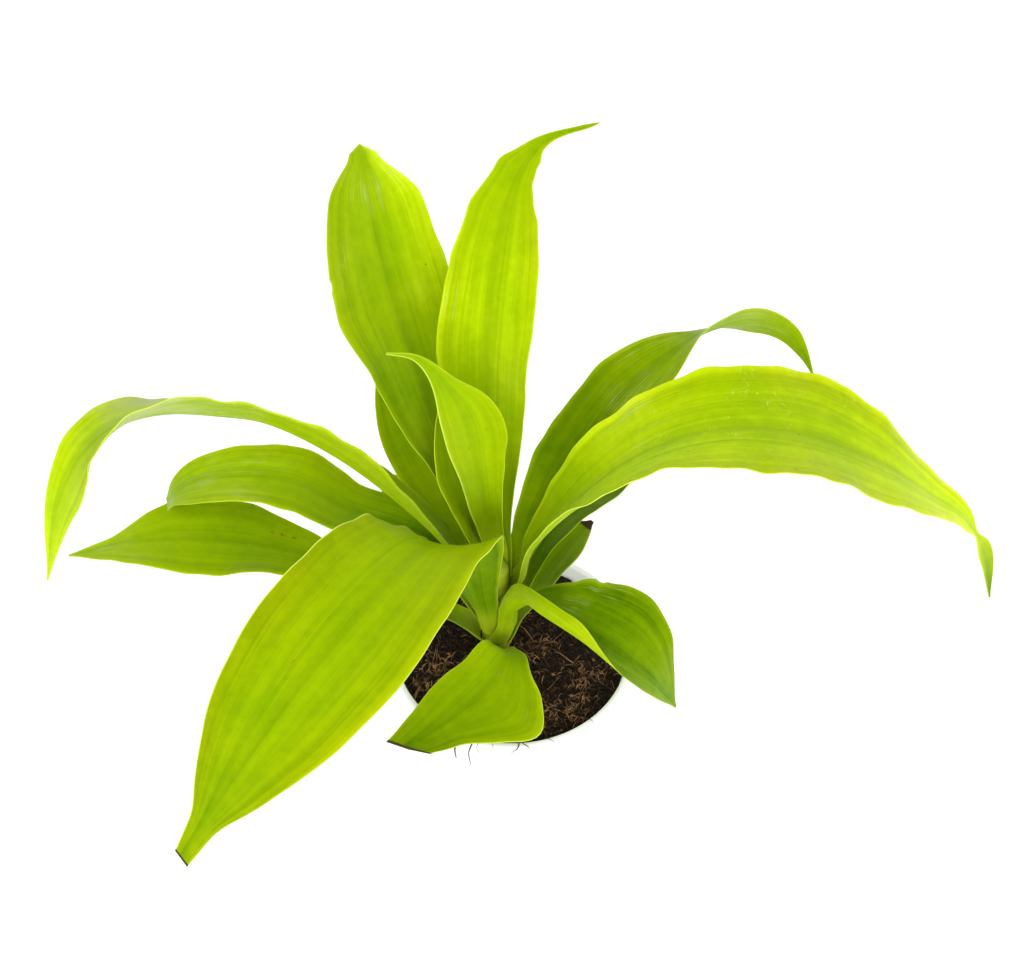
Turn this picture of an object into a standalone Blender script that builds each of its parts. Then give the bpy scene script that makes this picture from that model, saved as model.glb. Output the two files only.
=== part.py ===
"""A potted dracaena: a white plastic nursery pot, its soil, a short stem and sixteen leaves.

The origin is the middle of the pot's base on the surface. +X is the right of the plant as it is
looked at from the front, +Y points away from the viewer and +Z is up. Lengths are in metres; the
leaf table is written in millimetres and turned into metres as it is read.
"""
import math

import bmesh
import bpy
import numpy as np

MM = 0.001

# Pot
POT_HEIGHT = 108.0 * MM
RIM_RADIUS = 60.0 * MM
RIM_INNER_RADIUS = 56.5 * MM
RIM_BAND_HEIGHT = 13.0 * MM
SHOULDER_RADIUS = 57.0 * MM
BASE_RADIUS = 42.5 * MM
BASE_ROUNDING = 1.5 * MM
WALL_THICK = 1.6 * MM
FLOOR_THICK = 2.4 * MM
BASE_RING_OUTER = 36.0 * MM
BASE_RING_INNER = 30.0 * MM
BASE_RING_DEPTH = 1.2 * MM
POT_SIDES = 56

# Soil
GAP = 0.3 * MM
SOIL_LEVEL = 98.3 * MM
SOIL_RISE_TO_WALL = 1.4 * MM
SOIL_BUMP = 0.8 * MM
SOIL_SIDES = 40
SOIL_RINGS = 7

# Stem
STEM_X = -8.0 * MM
STEM_Y = 4.0 * MM
STEM_RADIUS = 6.85 * MM
STEM_TOP_RADIUS = 6.6 * MM
STEM_FOOT = 73.0 * MM
STEM_TOP = 166.0 * MM
SCAR_SPACING = 7.0 * MM
SCAR_DEPTH = 0.35 * MM
SCAR_WIDTH = 0.8 * MM
STEM_SIDES = 24

# Leaves
LEAF_THICK = 0.8 * MM
LEAF_FOOT_REACH = 7.9 * MM
LEAF_STEP = 14.0 * MM
LEAF_STEPS_ACROSS = 6
LEAST_STEPS_ALONG = 10
LEAST_WIDTH = 0.9 * MM
FOOT_RUN = (6.0 * MM, 14.0 * MM)
KEEL = 0.08
WAVE_HEIGHT = 2.0 * MM
WAVE_COUNT = 4.0
WAVE_LAG = 0.37
WAVE_FULL_WIDTH = 40.0 * MM
RIB_SAMPLES = 96
CURVE_STEPS = 24

# Colours
LEAF_LIME = (0.42, 0.62, 0.02)
LEAF_SHADE = (0.26, 0.46, 0.02)
STEM_GREEN = (0.40, 0.44, 0.12)
SOIL_BROWN = (0.06, 0.04, 0.03)
POT_WHITE = (0.90, 0.90, 0.89)


def leaf(name, foot, course, widths, colour=LEAF_LIME, **shape):
    """One row of the leaf table.

    foot is the compass angle of the foot round the stem in degrees, its height in millimetres and
    its lean from upright in degrees. course holds the points that the midrib passes through,
    widths the full widths at even steps from foot to tip, both in millimetres. shape may hold
    curl (or left and right), the angles in degrees through which each half of the blade is rolled
    up from the midrib, left_more and right_more, the millimetres by which one half is wider than
    the other at even steps, roll, the turn of the blade about its midrib, slant, how far the cut
    end leans in millimetres, and wave, the height in millimetres and count of the margin's waves.
    """
    row = {"name": "leaf_" + name, "foot": foot, "course": course, "widths": widths, "colour": colour}
    row.update(shape)
    return row


LEAVES = [
    leaf("tall_left", (131, 149, 20),
         [(-25, 24, 200), (-40, 46, 244), (-54, 68, 286), (-62, 86, 316), (-66, 102, 334)],
         (10, 12, 19, 30, 41, 50, 55, 57, 53, 39, 4), curl=(40, 55, 34, 18, 10, 8),
         left_more=(0, 0, 0, 0, 0, 0, 2, 4, 3, 0, 0), right_more=(0, 0, 0, 0, 0, 0, 0, 0, 0, 1, 0)),
    leaf("tall_right", (78, 152.5, 17),
         [(-9, 22, 205), (-12, 38, 250), (-9, 60, 293), (-1, 84, 321), (12, 100, 335), (38, 108, 341)],
         (10, 13, 24, 35, 40, 43, 43, 38, 20, 6, 2), curl=(40, 50, 30, 20, 14, 14),
         left_more=(0, 0, 0, 1, 1, 0, -2, -2, 1, 0, 0), right_more=(0, 0, 0, 0, 0, 0, 0, 0, 0, -1, 0)),
    leaf("young_front", (96, 160, 4),
         [(-13, 3, 213), (-16, 4, 238), (-20, 7, 261), (-26, 9, 276), (-33, 10, 288),
          (-41, 10, 296), (-52, 9, 299)],
         (9, 11, 14, 17, 21, 26, 28, 22, 10, 4, 1), curl=(40, 60, 50, 30, 20, 20),
         roll=(0, -10, -20), left_more=(0, 0, 0, -1, -2, -3, -2, 0, 1, 0, 0),
         right_more=(0, 0, 0, 0, 0, 0, 2, 2.5, 0, 0, 0), wave=(1.0, 3.0)),
    leaf("young_back", (173, 156, 12),
         [(-20, 8, 198), (-26, 12, 226), (-29, 16, 248), (-31, 19, 262)],
         (9, 12, 16, 19, 23, 25, 26, 25, 21, 13, 1), curl=(40, 50, 40, 20, 20, 20),
         roll=(0, 30, 40), wave=(1.0, 2.0)),
    leaf("long_left", (158, 138.5, 26),
         [(-38, 12, 182), (-76, 26, 214), (-110, 36, 229), (-133, 40, 230), (-158, 42, 229),
          (-178, 42, 222), (-197, 40, 206), (-213, 34, 180), (-228, 26, 126)],
         (10, 17, 26, 32, 36, 40, 42, 38, 27, 12, 1), curl=(40, 50, 24, 16, 16, 16),
         roll=(0, -42, -60, -60, -20, 56, 62), right_more=(0, 0, 0, 0, 0, 0, 0, -1, -5, -2, 0)),
    leaf("mid_left", (162, 131.5, 34),
         [(-38, 14, 172), (-78, 26, 180), (-99, 32, 191), (-122, 34, 194), (-143, 33, 192),
          (-157, 31, 186), (-162, 30, 178)],
         (10, 13, 18, 24, 29, 32, 35, 35, 32, 25, 8), LEAF_SHADE, curl=(40, 50, 24, 12, 10, 10),
         wave=(1.6, 3.0)),
    leaf("low_left", (178, 110.5, 40),
         [(-53, 6, 144), (-93, 10, 164), (-129, 14, 171), (-170, 16, 169), (-211, 18, 155)],
         (10, 12, 14, 17, 23, 33, 42, 42, 33, 18, 1), LEAF_SHADE, curl=(40, 40, 20, 12, 10, 10),
         roll=(0, 6, 6), right_more=(0, 0, 0, -1, -3, -3, 0, 1, 0, -2, 0)),
    leaf("big_front", (-122, 121, 10),
         [(-19, -12, 165), (-28, -27, 216), (-38, -44, 236), (-55, -68, 239), (-77, -94, 230),
          (-104, -122, 206), (-136, -150, 165)],
         (10, 19, 33, 45, 56, 64, 67, 62, 47, 25, 8), curl=(40, 50, 20, 6, 6, 8),
         roll=(0, -15, -12, 15, 25, 25), slant=-1.5),
    leaf("small_front", (-95, 101, 24),
         [(-6, -12, 120), (-2, -24, 133), (-7, -34, 134), (-16, -46, 132), (-30, -60, 131),
          (-47, -75, 131)],
         (10, 11, 14, 22, 34, 42, 46, 44, 36, 26, 17), curl=(40, 40, 20, 12, 10, 10), slant=6,
         left_more=(0, 0, 0, -5, -5, 6, 13, 4, -2, -1, 0),
         right_more=(0, 0, 0, -1, -3, -6, -6, -5, -3, -1, 0), wave=(0.8, 2.5)),
    leaf("low_right", (-50, 114, 16),
         [(1, -8, 145), (10, -13, 159), (20, -24, 164), (40, -36, 160), (62, -42, 143),
          (77, -42, 116)],
         (10, 13, 14, 17, 29, 38, 42, 42, 32, 16, 1), left=(40, 50, 40, 20, 12, 10, 10),
         right=(40, 60, 120, 140, 60, 20, 10), roll=(0, 0, -8, -16, -24),
         left_more=(0, 0, 0, -1, 2, 7, 10, 9, 6, 2, 0), right_more=(0, 0, 0, 4, 5, 2, -3, -8, -7, -3, 0),
         wave=(1.4, 3.0)),
    leaf("big_right", (-8, 145.5, 24),
         [(10, 2, 182), (35, 10, 213), (61, 14, 235), (91, 16, 246), (126, 16, 243), (163, 12, 228),
          (190, 8, 209), (205, 7, 197), (219, 4, 174), (226, 0, 146)],
         (10, 14, 28, 42, 53, 60, 65, 66, 58, 40, 15, 9, 1), curl=(40, 50, 24, 12, 10, 10),
         roll=(0, -8, -12, -10, -10), wave=(2.0, 5.0)),
    leaf("far_right", (44, 142, 28),
         [(15, 22, 186), (32, 44, 201), (52, 67, 216), (73, 79, 229), (94, 87, 238), (116, 90, 239),
          (129, 88, 234), (137, 82, 226), (142, 76, 218)],
         (10, 15, 25, 34, 37, 36, 28, 16, 17, 11, 1), curl=(40, 50, 24, 14, 10, 10),
         roll=(0, 0, 0, 0, 0, 5, 70, 100, 95), wave=(1.2, 4.0)),
    leaf("under_right", (34, 128, 32),
         [(14, 22, 158), (33, 40, 172), (62, 58, 183), (91, 70, 187), (119, 74, 184)],
         (10, 15, 23, 30, 34, 36, 35, 31, 24, 14, 1), LEAF_SHADE, curl=(40, 50, 40, 40, 30, 20),
         wave=(1.4, 3.0)),
    leaf("short_right", (30, 107, 22),
         [(8, 14, 129), (22, 26, 144), (32, 35, 151), (39, 41, 153)],
         (10, 12, 14, 18, 22, 26, 28, 27, 23, 14, 2), LEAF_SHADE, curl=(40, 50, 40, 40, 30, 20),
         wave=(1.0, 1.5)),
    leaf("behind_left", (106, 124.5, 28),
         [(-27, 36, 168), (-42, 54, 190), (-54, 69, 213), (-62, 84, 232)],
         (10, 12, 16, 21, 27, 32, 34, 32, 25, 13, 1), LEAF_SHADE, curl=(40, 50, 24, 12, 10, 10),
         wave=(1.4, 2.5)),
    leaf("back_left", (138, 121, 46),
         [(-40, 40, 146), (-55, 60, 153), (-67, 74, 152)],
         (10, 13, 18, 23, 26, 28, 28, 26, 20, 11, 1), LEAF_SHADE, curl=(40, 50, 20, 12, 10, 10),
         wave=(1.2, 2.0)),
]


def material(name, colour, roughness):
    """A plain Principled material."""
    made = bpy.data.materials.new(name)
    made.use_nodes = True
    shader = made.node_tree.nodes["Principled BSDF"]
    shader.inputs["Base Color"].default_value = (*colour, 1.0)
    shader.inputs["Roughness"].default_value = roughness
    shader.inputs["Metallic"].default_value = 0.0
    made.diffuse_color = (*colour, 1.0)
    return made


def finished(name, mesh, surface):
    """The named object of a bmesh, smooth shaded, with its faces pointing out."""
    bmesh.ops.recalc_face_normals(mesh, faces=mesh.faces[:])
    data = bpy.data.meshes.new(name)
    mesh.to_mesh(data)
    mesh.free()
    data.shade_smooth()
    data.set_sharp_from_angle(angle=math.radians(35.0))
    data.materials.append(surface)
    made = bpy.data.objects.new(name, data)
    bpy.context.scene.collection.objects.link(made)
    return made


def turned(name, profile, sides, surface, x=0.0, y=0.0):
    """A closed body turned about the upright line through x, y from (radius, height) points.

    The profile's first and last points lie on the axis.
    """
    mesh = bmesh.new()
    points = [mesh.verts.new((radius, 0.0, height)) for radius, height in profile]
    edges = [mesh.edges.new(pair) for pair in zip(points, points[1:])]
    bmesh.ops.spin(mesh, geom=points + edges, cent=(0, 0, 0), axis=(0, 0, 1),
                   angle=math.tau, steps=sides, use_merge=True)
    bmesh.ops.remove_doubles(mesh, verts=mesh.verts[:], dist=0.01 * MM)
    bmesh.ops.translate(mesh, verts=mesh.verts[:], vec=(x, y, 0.0))
    return finished(name, mesh, surface)


def wall_inside(height):
    """Radius of the pot's inner wall at a height below the rim band."""
    share = height / (POT_HEIGHT - RIM_BAND_HEIGHT)
    outside = BASE_RADIUS + (SHOULDER_RADIUS - BASE_RADIUS) * min(share, 1.0)
    return outside - WALL_THICK


def make_pot():
    """The pot: a tapered wall, a rim band with a rounded lip and a base with a stacking ring."""
    band = POT_HEIGHT - RIM_BAND_HEIGHT
    lip = 1.2 * MM
    profile = [
        (0.0, 0.0),
        (BASE_RING_INNER, 0.0),
        (BASE_RING_INNER + BASE_RING_DEPTH / 2, BASE_RING_DEPTH),
        (BASE_RING_OUTER - BASE_RING_DEPTH / 2, BASE_RING_DEPTH),
        (BASE_RING_OUTER, 0.0),
        (BASE_RADIUS - BASE_ROUNDING, 0.0),
        (BASE_RADIUS - 0.3 * BASE_ROUNDING, 0.3 * BASE_ROUNDING),
        (BASE_RADIUS, BASE_ROUNDING),
        (SHOULDER_RADIUS, band),
        (RIM_RADIUS - 0.8 * MM, band + 0.8 * MM),
        (RIM_RADIUS, POT_HEIGHT - lip),
        (RIM_RADIUS - 0.4 * lip, POT_HEIGHT - 0.2 * lip),
        (RIM_RADIUS - lip, POT_HEIGHT),
        (RIM_INNER_RADIUS + 0.6 * lip, POT_HEIGHT),
        (RIM_INNER_RADIUS, POT_HEIGHT - 0.6 * lip),
        (wall_inside(band), band),
        (wall_inside(FLOOR_THICK), FLOOR_THICK),
        (0.0, FLOOR_THICK),
    ]
    return turned("pot", profile, POT_SIDES, material("pot_plastic", POT_WHITE, 0.35))


def soil_height(x, y):
    """Height of the soil's top: low round the stem, a little higher at the wall, with clods."""
    reach = math.hypot(x, y) / RIM_INNER_RADIUS
    clods = math.sin(x / (7.0 * MM) + 1.3) * math.sin(y / (8.0 * MM) + 0.4)
    crumbs = math.sin(x / (3.1 * MM) - 0.7 + y / (5.0 * MM)) * math.sin(y / (3.7 * MM))
    return SOIL_LEVEL + SOIL_RISE_TO_WALL * reach ** 2 + SOIL_BUMP * (0.7 * clods + 0.3 * crumbs)


def soil_ring(mesh, x, y, radius, height=None):
    """Points round a circle, level at a height or else lying on the soil's top."""
    made = []
    for k in range(SOIL_SIDES):
        angle = math.tau * k / SOIL_SIDES
        px = x + radius * math.cos(angle)
        py = y + radius * math.sin(angle)
        pz = soil_height(px, py) if height is None else height
        made.append(mesh.verts.new((px, py, pz)))
    return made


def make_soil():
    """The soil fills the pot below its rim, with a plain hole that the stem stands in."""
    hole = STEM_RADIUS + GAP
    outer = wall_inside(SOIL_LEVEL) - GAP
    bottom = FLOOR_THICK + GAP
    mesh = bmesh.new()
    rings = [soil_ring(mesh, STEM_X, STEM_Y, hole, STEM_FOOT - GAP)]
    for k in range(SOIL_RINGS + 1):
        share = k / SOIL_RINGS
        rings.append(soil_ring(mesh, STEM_X * (1 - share), STEM_Y * (1 - share),
                               hole + (outer - hole) * share))
    rings.append(soil_ring(mesh, 0.0, 0.0, wall_inside(bottom) - GAP, bottom))
    for inner, outside in zip(rings, rings[1:]):
        for k in range(SOIL_SIDES):
            after = (k + 1) % SOIL_SIDES
            mesh.faces.new((inner[k], outside[k], outside[after], inner[after]))
    mesh.faces.new(rings[0])
    mesh.faces.new(rings[-1])
    bmesh.ops.triangulate(mesh, faces=mesh.faces[:])
    return finished("soil", mesh, material("soil_peat", SOIL_BROWN, 0.95))


def make_stem():
    """The cane: nearly straight, ringed by the scars of old leaves, with a rounded top."""
    profile = [(0.0, STEM_FOOT), (STEM_RADIUS, STEM_FOOT)]
    count = int((STEM_TOP - SOIL_LEVEL) / SCAR_SPACING)
    for k in range(count):
        middle = SOIL_LEVEL + (k + 0.5) * SCAR_SPACING
        share = (middle - SOIL_LEVEL) / (STEM_TOP - SOIL_LEVEL)
        radius = STEM_RADIUS + (STEM_TOP_RADIUS - STEM_RADIUS) * share
        profile += [(radius, middle - SCAR_WIDTH), (radius - SCAR_DEPTH, middle),
                    (radius, middle + SCAR_WIDTH)]
    for turn in (0, 30, 60):
        angle = math.radians(turn)
        profile.append((STEM_TOP_RADIUS * math.cos(angle),
                        STEM_TOP - STEM_TOP_RADIUS / 2 * (1 - math.sin(angle))))
    profile.append((0.0, STEM_TOP))
    return turned("stem", profile, STEM_SIDES, material("stem_skin", STEM_GREEN, 0.6), STEM_X, STEM_Y)


def midrib(row):
    """The points that a leaf's midrib passes through, in metres."""
    compass, height, lean = row["foot"]
    out = np.array([math.cos(math.radians(compass)), math.sin(math.radians(compass)), 0.0])
    up = np.array([0.0, 0.0, 1.0])
    foot = np.array([STEM_X, STEM_Y, height * MM]) + LEAF_FOOT_REACH * out
    way = math.sin(math.radians(lean)) * out + math.cos(math.radians(lean)) * up
    start = [foot] + [foot + run * way for run in FOOT_RUN]
    return np.vstack([start, np.array(row["course"], float) * MM])


def smooth_curve(points):
    """Evenly spaced samples of a smooth curve through the points, and its length."""
    p = np.vstack([2 * points[0] - points[1], points, 2 * points[-1] - points[-2]])
    samples = []
    for i in range(1, len(p) - 2):
        knots = [0.0]
        for k in (i - 1, i, i + 1):
            knots.append(knots[-1] + math.sqrt(np.linalg.norm(p[k + 1] - p[k])))
        for t in np.linspace(knots[1], knots[2], CURVE_STEPS, endpoint=False):
            level = [p[i - 1], p[i], p[i + 1], p[i + 2]]
            for order in (1, 2, 3):
                level = blend_level(level, knots, order, t)
            samples.append(level[0])
    samples.append(p[-2])
    samples = np.array(samples)
    steps = np.linalg.norm(np.diff(samples, axis=0), axis=1)
    run = np.concatenate([[0.0], np.cumsum(steps)])
    even = np.linspace(0.0, run[-1], RIB_SAMPLES + 1)
    return np.stack([np.interp(even, run, samples[:, k]) for k in range(3)], axis=1), run[-1]


def blend_level(level, knots, order, t):
    """One level of the pyramid of blends that a centripetal Catmull-Rom curve is made of."""
    blended = []
    for k in range(len(level) - 1):
        first = k if order < 3 else 1
        last = k + order if order < 3 else 2
        share = (t - knots[first]) / (knots[last] - knots[first])
        blended.append(level[k] * (1 - share) + level[k + 1] * share)
    return blended


def read_smoothly(values, t):
    """Values given at even steps from 0 to 1, read at t by smooth cubic pieces."""
    v = np.array(values, float)
    if len(v) == 1:
        return np.full_like(t, v[0])
    x = t * (len(v) - 1)
    i = np.clip(np.floor(x).astype(int), 0, len(v) - 2)
    f = x - i
    padded = np.concatenate([v[:1], v, v[-1:]])
    before, here, there, after = (padded[i + k] for k in range(4))
    leave = (there - before) / 2
    arrive = (after - here) / 2
    return ((2 * f**3 - 3 * f**2 + 1) * here + (f**3 - 2 * f**2 + f) * leave
            + (3 * f**2 - 2 * f**3) * there + (f**3 - f**2) * arrive)


def carried_frames(rib, compass):
    """The way along the rib and the way to its right, carried along it without a twist."""
    along = np.gradient(rib, axis=0)
    along /= np.linalg.norm(along, axis=1)[:, None]
    angle = math.radians(compass)
    side = np.array([math.sin(angle), -math.cos(angle), 0.0])
    sides = []
    for way in along:
        side = side - (side @ way) * way
        side = side / np.linalg.norm(side)
        sides.append(side)
    return along, np.array(sides)


def at_share(samples, u):
    """The samples read in between, at each share u of the length."""
    where = np.linspace(0.0, 1.0, len(samples))
    return np.stack([np.interp(u, where, samples[:, k]) for k in range(3)], axis=1)


def unit(vectors):
    """The vectors at length one."""
    return vectors / np.linalg.norm(vectors, axis=-1, keepdims=True)


def blade_frames(row, u):
    """The midrib's points at each u, with the ways along it, to its right and off its face."""
    rib, _ = smooth_curve(midrib(row))
    along, sides = carried_frames(rib, row["foot"][0])
    along = unit(at_share(along, u))
    side = at_share(sides, u)
    side = unit(side - (side * along).sum(axis=1)[:, None] * along)
    face = np.cross(side, along)
    roll = np.radians(read_smoothly(row.get("roll", (0,)), u))[:, None]
    return (at_share(rib, u), along, side * np.cos(roll) + face * np.sin(roll),
            face * np.cos(roll) - side * np.sin(roll))


def half_width(row, u, hand):
    """The blade's reach from its midrib at each u, to the right (hand 1) or the left (hand -1)."""
    more = row.get("right_more" if hand > 0 else "left_more", (0,))
    half = read_smoothly(row["widths"], u) / 2 + read_smoothly(more, u)
    return np.maximum(half * MM, LEAST_WIDTH / 2)


def blade_grid(row, steps_along, steps_across):
    """Points of the blade's middle surface, indexed along and across, left margin first."""
    u = np.linspace(0.0, 1.0, steps_along + 1)
    centre, along, side, face = blade_frames(row, u)
    curl = {-1: row.get("left", row.get("curl")), 1: row.get("right", row.get("curl"))}
    height, count = row.get("wave", (WAVE_HEIGHT / MM, WAVE_COUNT))
    grid = np.zeros((steps_along + 1, steps_across + 1, 3))
    for j, v in enumerate(np.linspace(-1.0, 1.0, steps_across + 1)):
        reach = abs(v)
        hand = 1 if v > 0 else -1
        half = half_width(row, u, hand)
        bend = np.maximum(np.radians(read_smoothly(curl[hand], u)), 0.001)
        out = half * np.sin(bend * reach) / bend * hand
        up = half * (1 - np.cos(bend * reach)) / bend + KEEL * half * reach * (1 - reach / 2)
        swell = np.sin(math.pi * u ** 0.8) ** 0.8 * np.clip(2 * half / WAVE_FULL_WIDTH, 0, 1)
        lag = WAVE_LAG if v > 0 else 0.0
        up = up + height * MM * reach ** 2 * swell * np.sin(math.tau * (count * u + lag))
        lean = row.get("slant", 0.0) * MM * v * u ** 8
        grid[:, j] = centre + out[:, None] * side + up[:, None] * face + lean[:, None] * along
    return grid


def make_leaf(row):
    """One leaf: a closed blade of even thickness, both faces split into triangles alike."""
    _, length = smooth_curve(midrib(row))
    steps = max(LEAST_STEPS_ALONG, round(length / LEAF_STEP))
    grid = blade_grid(row, steps, LEAF_STEPS_ACROSS)
    normals = unit(np.cross(np.gradient(grid, axis=1), np.gradient(grid, axis=0)))
    mesh = bmesh.new()
    upper = [[mesh.verts.new(p) for p in line] for line in grid + normals * LEAF_THICK / 2]
    under = [[mesh.verts.new(p) for p in line] for line in grid - normals * LEAF_THICK / 2]
    last = LEAF_STEPS_ACROSS
    for i in range(steps):
        for j in range(last):
            for side, turn in ((upper, 1), (under, -1)):
                corner = side[i][j]
                across = side[i][j + 1]
                far = side[i + 1][j + 1]
                ahead = side[i + 1][j]
                mesh.faces.new((corner, across, far)[::turn])
                mesh.faces.new((corner, far, ahead)[::turn])
    margin = [(0, j) for j in range(last)] + [(i, last) for i in range(steps)]
    margin += [(steps, j) for j in range(last, 0, -1)] + [(i, 0) for i in range(steps, 0, -1)]
    for (i, j), (k, m) in zip(margin, margin[1:] + margin[:1]):
        mesh.faces.new((upper[k][m], upper[i][j], under[i][j]))
        mesh.faces.new((upper[k][m], under[i][j], under[k][m]))
    return finished(row["name"], mesh, material(row["name"] + "_skin", row["colour"], 0.4))


def clear_scene():
    """Removes what a new file holds."""
    for thing in list(bpy.data.objects):
        bpy.data.objects.remove(thing, do_unlink=True)


def main():
    """Builds the whole plant in its pot."""
    clear_scene()
    make_pot()
    make_soil()
    make_stem()
    for row in LEAVES:
        make_leaf(row)


main()
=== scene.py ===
"""Looks of a potted dracaena: lime-green leaves, cane, peat soil and a white nursery pot.

The script is laid out as an add-on. Each piece has an operator of its own, and main() calls them in
order. Lengths are in metres. +X is the right of the plant, +Y points away from the viewer and +Z is
up.
"""

import math
import random
from collections import Counter
from contextlib import contextmanager

import bpy
import numpy as np
from mathutils import Euler, Matrix, Vector, noise


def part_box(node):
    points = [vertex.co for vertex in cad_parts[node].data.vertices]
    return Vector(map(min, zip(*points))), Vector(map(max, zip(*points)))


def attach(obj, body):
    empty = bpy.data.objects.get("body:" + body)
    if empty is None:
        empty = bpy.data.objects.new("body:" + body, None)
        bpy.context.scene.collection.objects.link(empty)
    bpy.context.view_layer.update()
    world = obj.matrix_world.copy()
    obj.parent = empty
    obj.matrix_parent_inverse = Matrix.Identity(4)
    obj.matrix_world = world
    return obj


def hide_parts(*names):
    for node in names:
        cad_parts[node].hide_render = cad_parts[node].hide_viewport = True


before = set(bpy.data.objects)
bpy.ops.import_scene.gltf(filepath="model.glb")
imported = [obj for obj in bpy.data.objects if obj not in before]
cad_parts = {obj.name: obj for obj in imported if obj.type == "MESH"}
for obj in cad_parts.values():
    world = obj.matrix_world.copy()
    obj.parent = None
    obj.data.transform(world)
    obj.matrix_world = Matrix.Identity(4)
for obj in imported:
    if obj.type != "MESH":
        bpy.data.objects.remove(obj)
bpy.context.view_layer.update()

bl_info = {
    "name": "Potted dracaena",
    "version": (1, 0, 0),
    "blender": (4, 5, 0),
    "location": "3D View > Sidebar > Dracaena",
    "description": "Makes a young dracaena with its leaves, cane, soil and pot",
    "category": "Add Mesh",
}

MM = 0.001
POT_LOW, POT_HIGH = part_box("pot")
SOIL_LOW, SOIL_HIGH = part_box("soil")
STEM_LOW, STEM_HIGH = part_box("stem")
GAP = 0.3 * MM


def length(name, description, default, least=0.0):
    """A property that holds a length in metres."""
    return bpy.props.FloatProperty(name=name, description=description, default=default, min=least,
                                   unit="LENGTH", subtype="DISTANCE", precision=5)


def share(name, description, default):
    """A property that holds a share from 0 to 1."""
    return bpy.props.FloatProperty(name=name, description=description, default=default, min=0.0,
                                   max=1.0, subtype="FACTOR")


def colour(name, description, default):
    """A property that holds a linear colour."""
    return bpy.props.FloatVectorProperty(name=name, description=description, default=default,
                                         size=3, min=0.0, max=1.0, subtype="COLOR")


def whole(name, description, default, least=1):
    """A property that holds a whole number."""
    return bpy.props.IntProperty(name=name, description=description, default=default, min=least)


def number(name, description, default, **unit):
    """A property that holds a strength, an angle or a power."""
    return bpy.props.FloatProperty(name=name, description=description, default=default, **unit)


class PotSizes(bpy.types.PropertyGroup):
    """Sizes of the nursery pot."""
    height: length("Height", "Height of the pot", POT_HIGH.z - POT_LOW.z)
    rim_radius: length("Rim radius", "Outer radius of the rim band", POT_HIGH.x)
    rim_inner: length("Rim inner radius", "Radius inside the lip", 56.5 * MM)
    band: length("Band height", "Height of the rim band", 13.0 * MM)
    shoulder: length("Shoulder radius", "Radius of the wall just under the band", 57.0 * MM)
    base_radius: length("Base radius", "Radius of the foot", 42.5 * MM)
    wall: length("Wall", "Thickness of the wall", 1.6 * MM)
    floor: length("Floor", "Thickness of the floor", 2.4 * MM)
    sides: whole("Sides", "Sides round the pot", 128, 24)


class SoilSizes(bpy.types.PropertyGroup):
    """Sizes of the soil and of what lies on it."""
    level: length("Level", "Height of the soil round the stem", 98.3 * MM)
    rise: length("Rise", "How much higher the soil stands at the wall", 1.4 * MM)
    bump: length("Clods", "Height of the clods", 0.8 * MM)
    grain: length("Grain", "Height of the fine grain", 2.8 * MM)
    around: whole("Steps round", "Steps round the soil", 220, 24)
    rings: whole("Rings", "Rings from stem to wall", 64, 4)
    fibres: whole("Fibres", "Loose fibres on the soil", 2200)
    chips: whole("Chips", "Chips of bark on the soil", 520, 3)
    crumbs: whole("Crumbs", "Crumbs of peat", 700)
    seed: whole("Seed", "Seed of the litter", 7)


class StemSizes(bpy.types.PropertyGroup):
    """Sizes of the cane."""
    radius: length("Radius", "Radius at the soil", 6.85 * MM)
    top_radius: length("Top radius", "Radius at the top", 6.6 * MM)
    scar_spacing: length("Scar spacing", "Distance from one leaf scar to the next", 7.0 * MM)
    scar_depth: length("Scar depth", "Depth of a leaf scar", 0.35 * MM)
    sides: whole("Sides", "Sides round the cane", 64, 12)


class LeafSizes(bpy.types.PropertyGroup):
    """Sizes that all leaves share."""
    thick: length("Thickness", "Thickness of the blade beside its midrib", 0.7 * MM)
    rib_thick: length("Midrib thickness", "Thickness at the midrib", 1.5 * MM)
    foot_reach: length("Foot reach", "Distance of a leaf's foot from the stem's axis", 7.9 * MM)
    step_along: length("Step along", "Mesh step along a leaf", 2.0 * MM, 0.5 * MM)
    step_across: length("Step across", "Mesh step across a leaf", 1.1 * MM, 0.3 * MM)
    pleat: length("Pleat height", "Height of the soft lengthwise folds", 0.20 * MM)
    clasp: share("Clasp", "How much wider a foot is where it clasps the cane", 0.75)
    clasp_run: length("Clasp run", "Length of the clasping foot", 14.0 * MM)
    groove: length("Groove depth", "Depth of the groove over the midrib", 0.6 * MM)
    ripple: length("Ripple height", "Height of the small ripples of the margins", 1.0 * MM)
    ripple_step: length("Ripple step", "Distance from one ripple to the next", 27.0 * MM)
    seed: whole("Seed", "Seed of the folds and ripples", 11)


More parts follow.
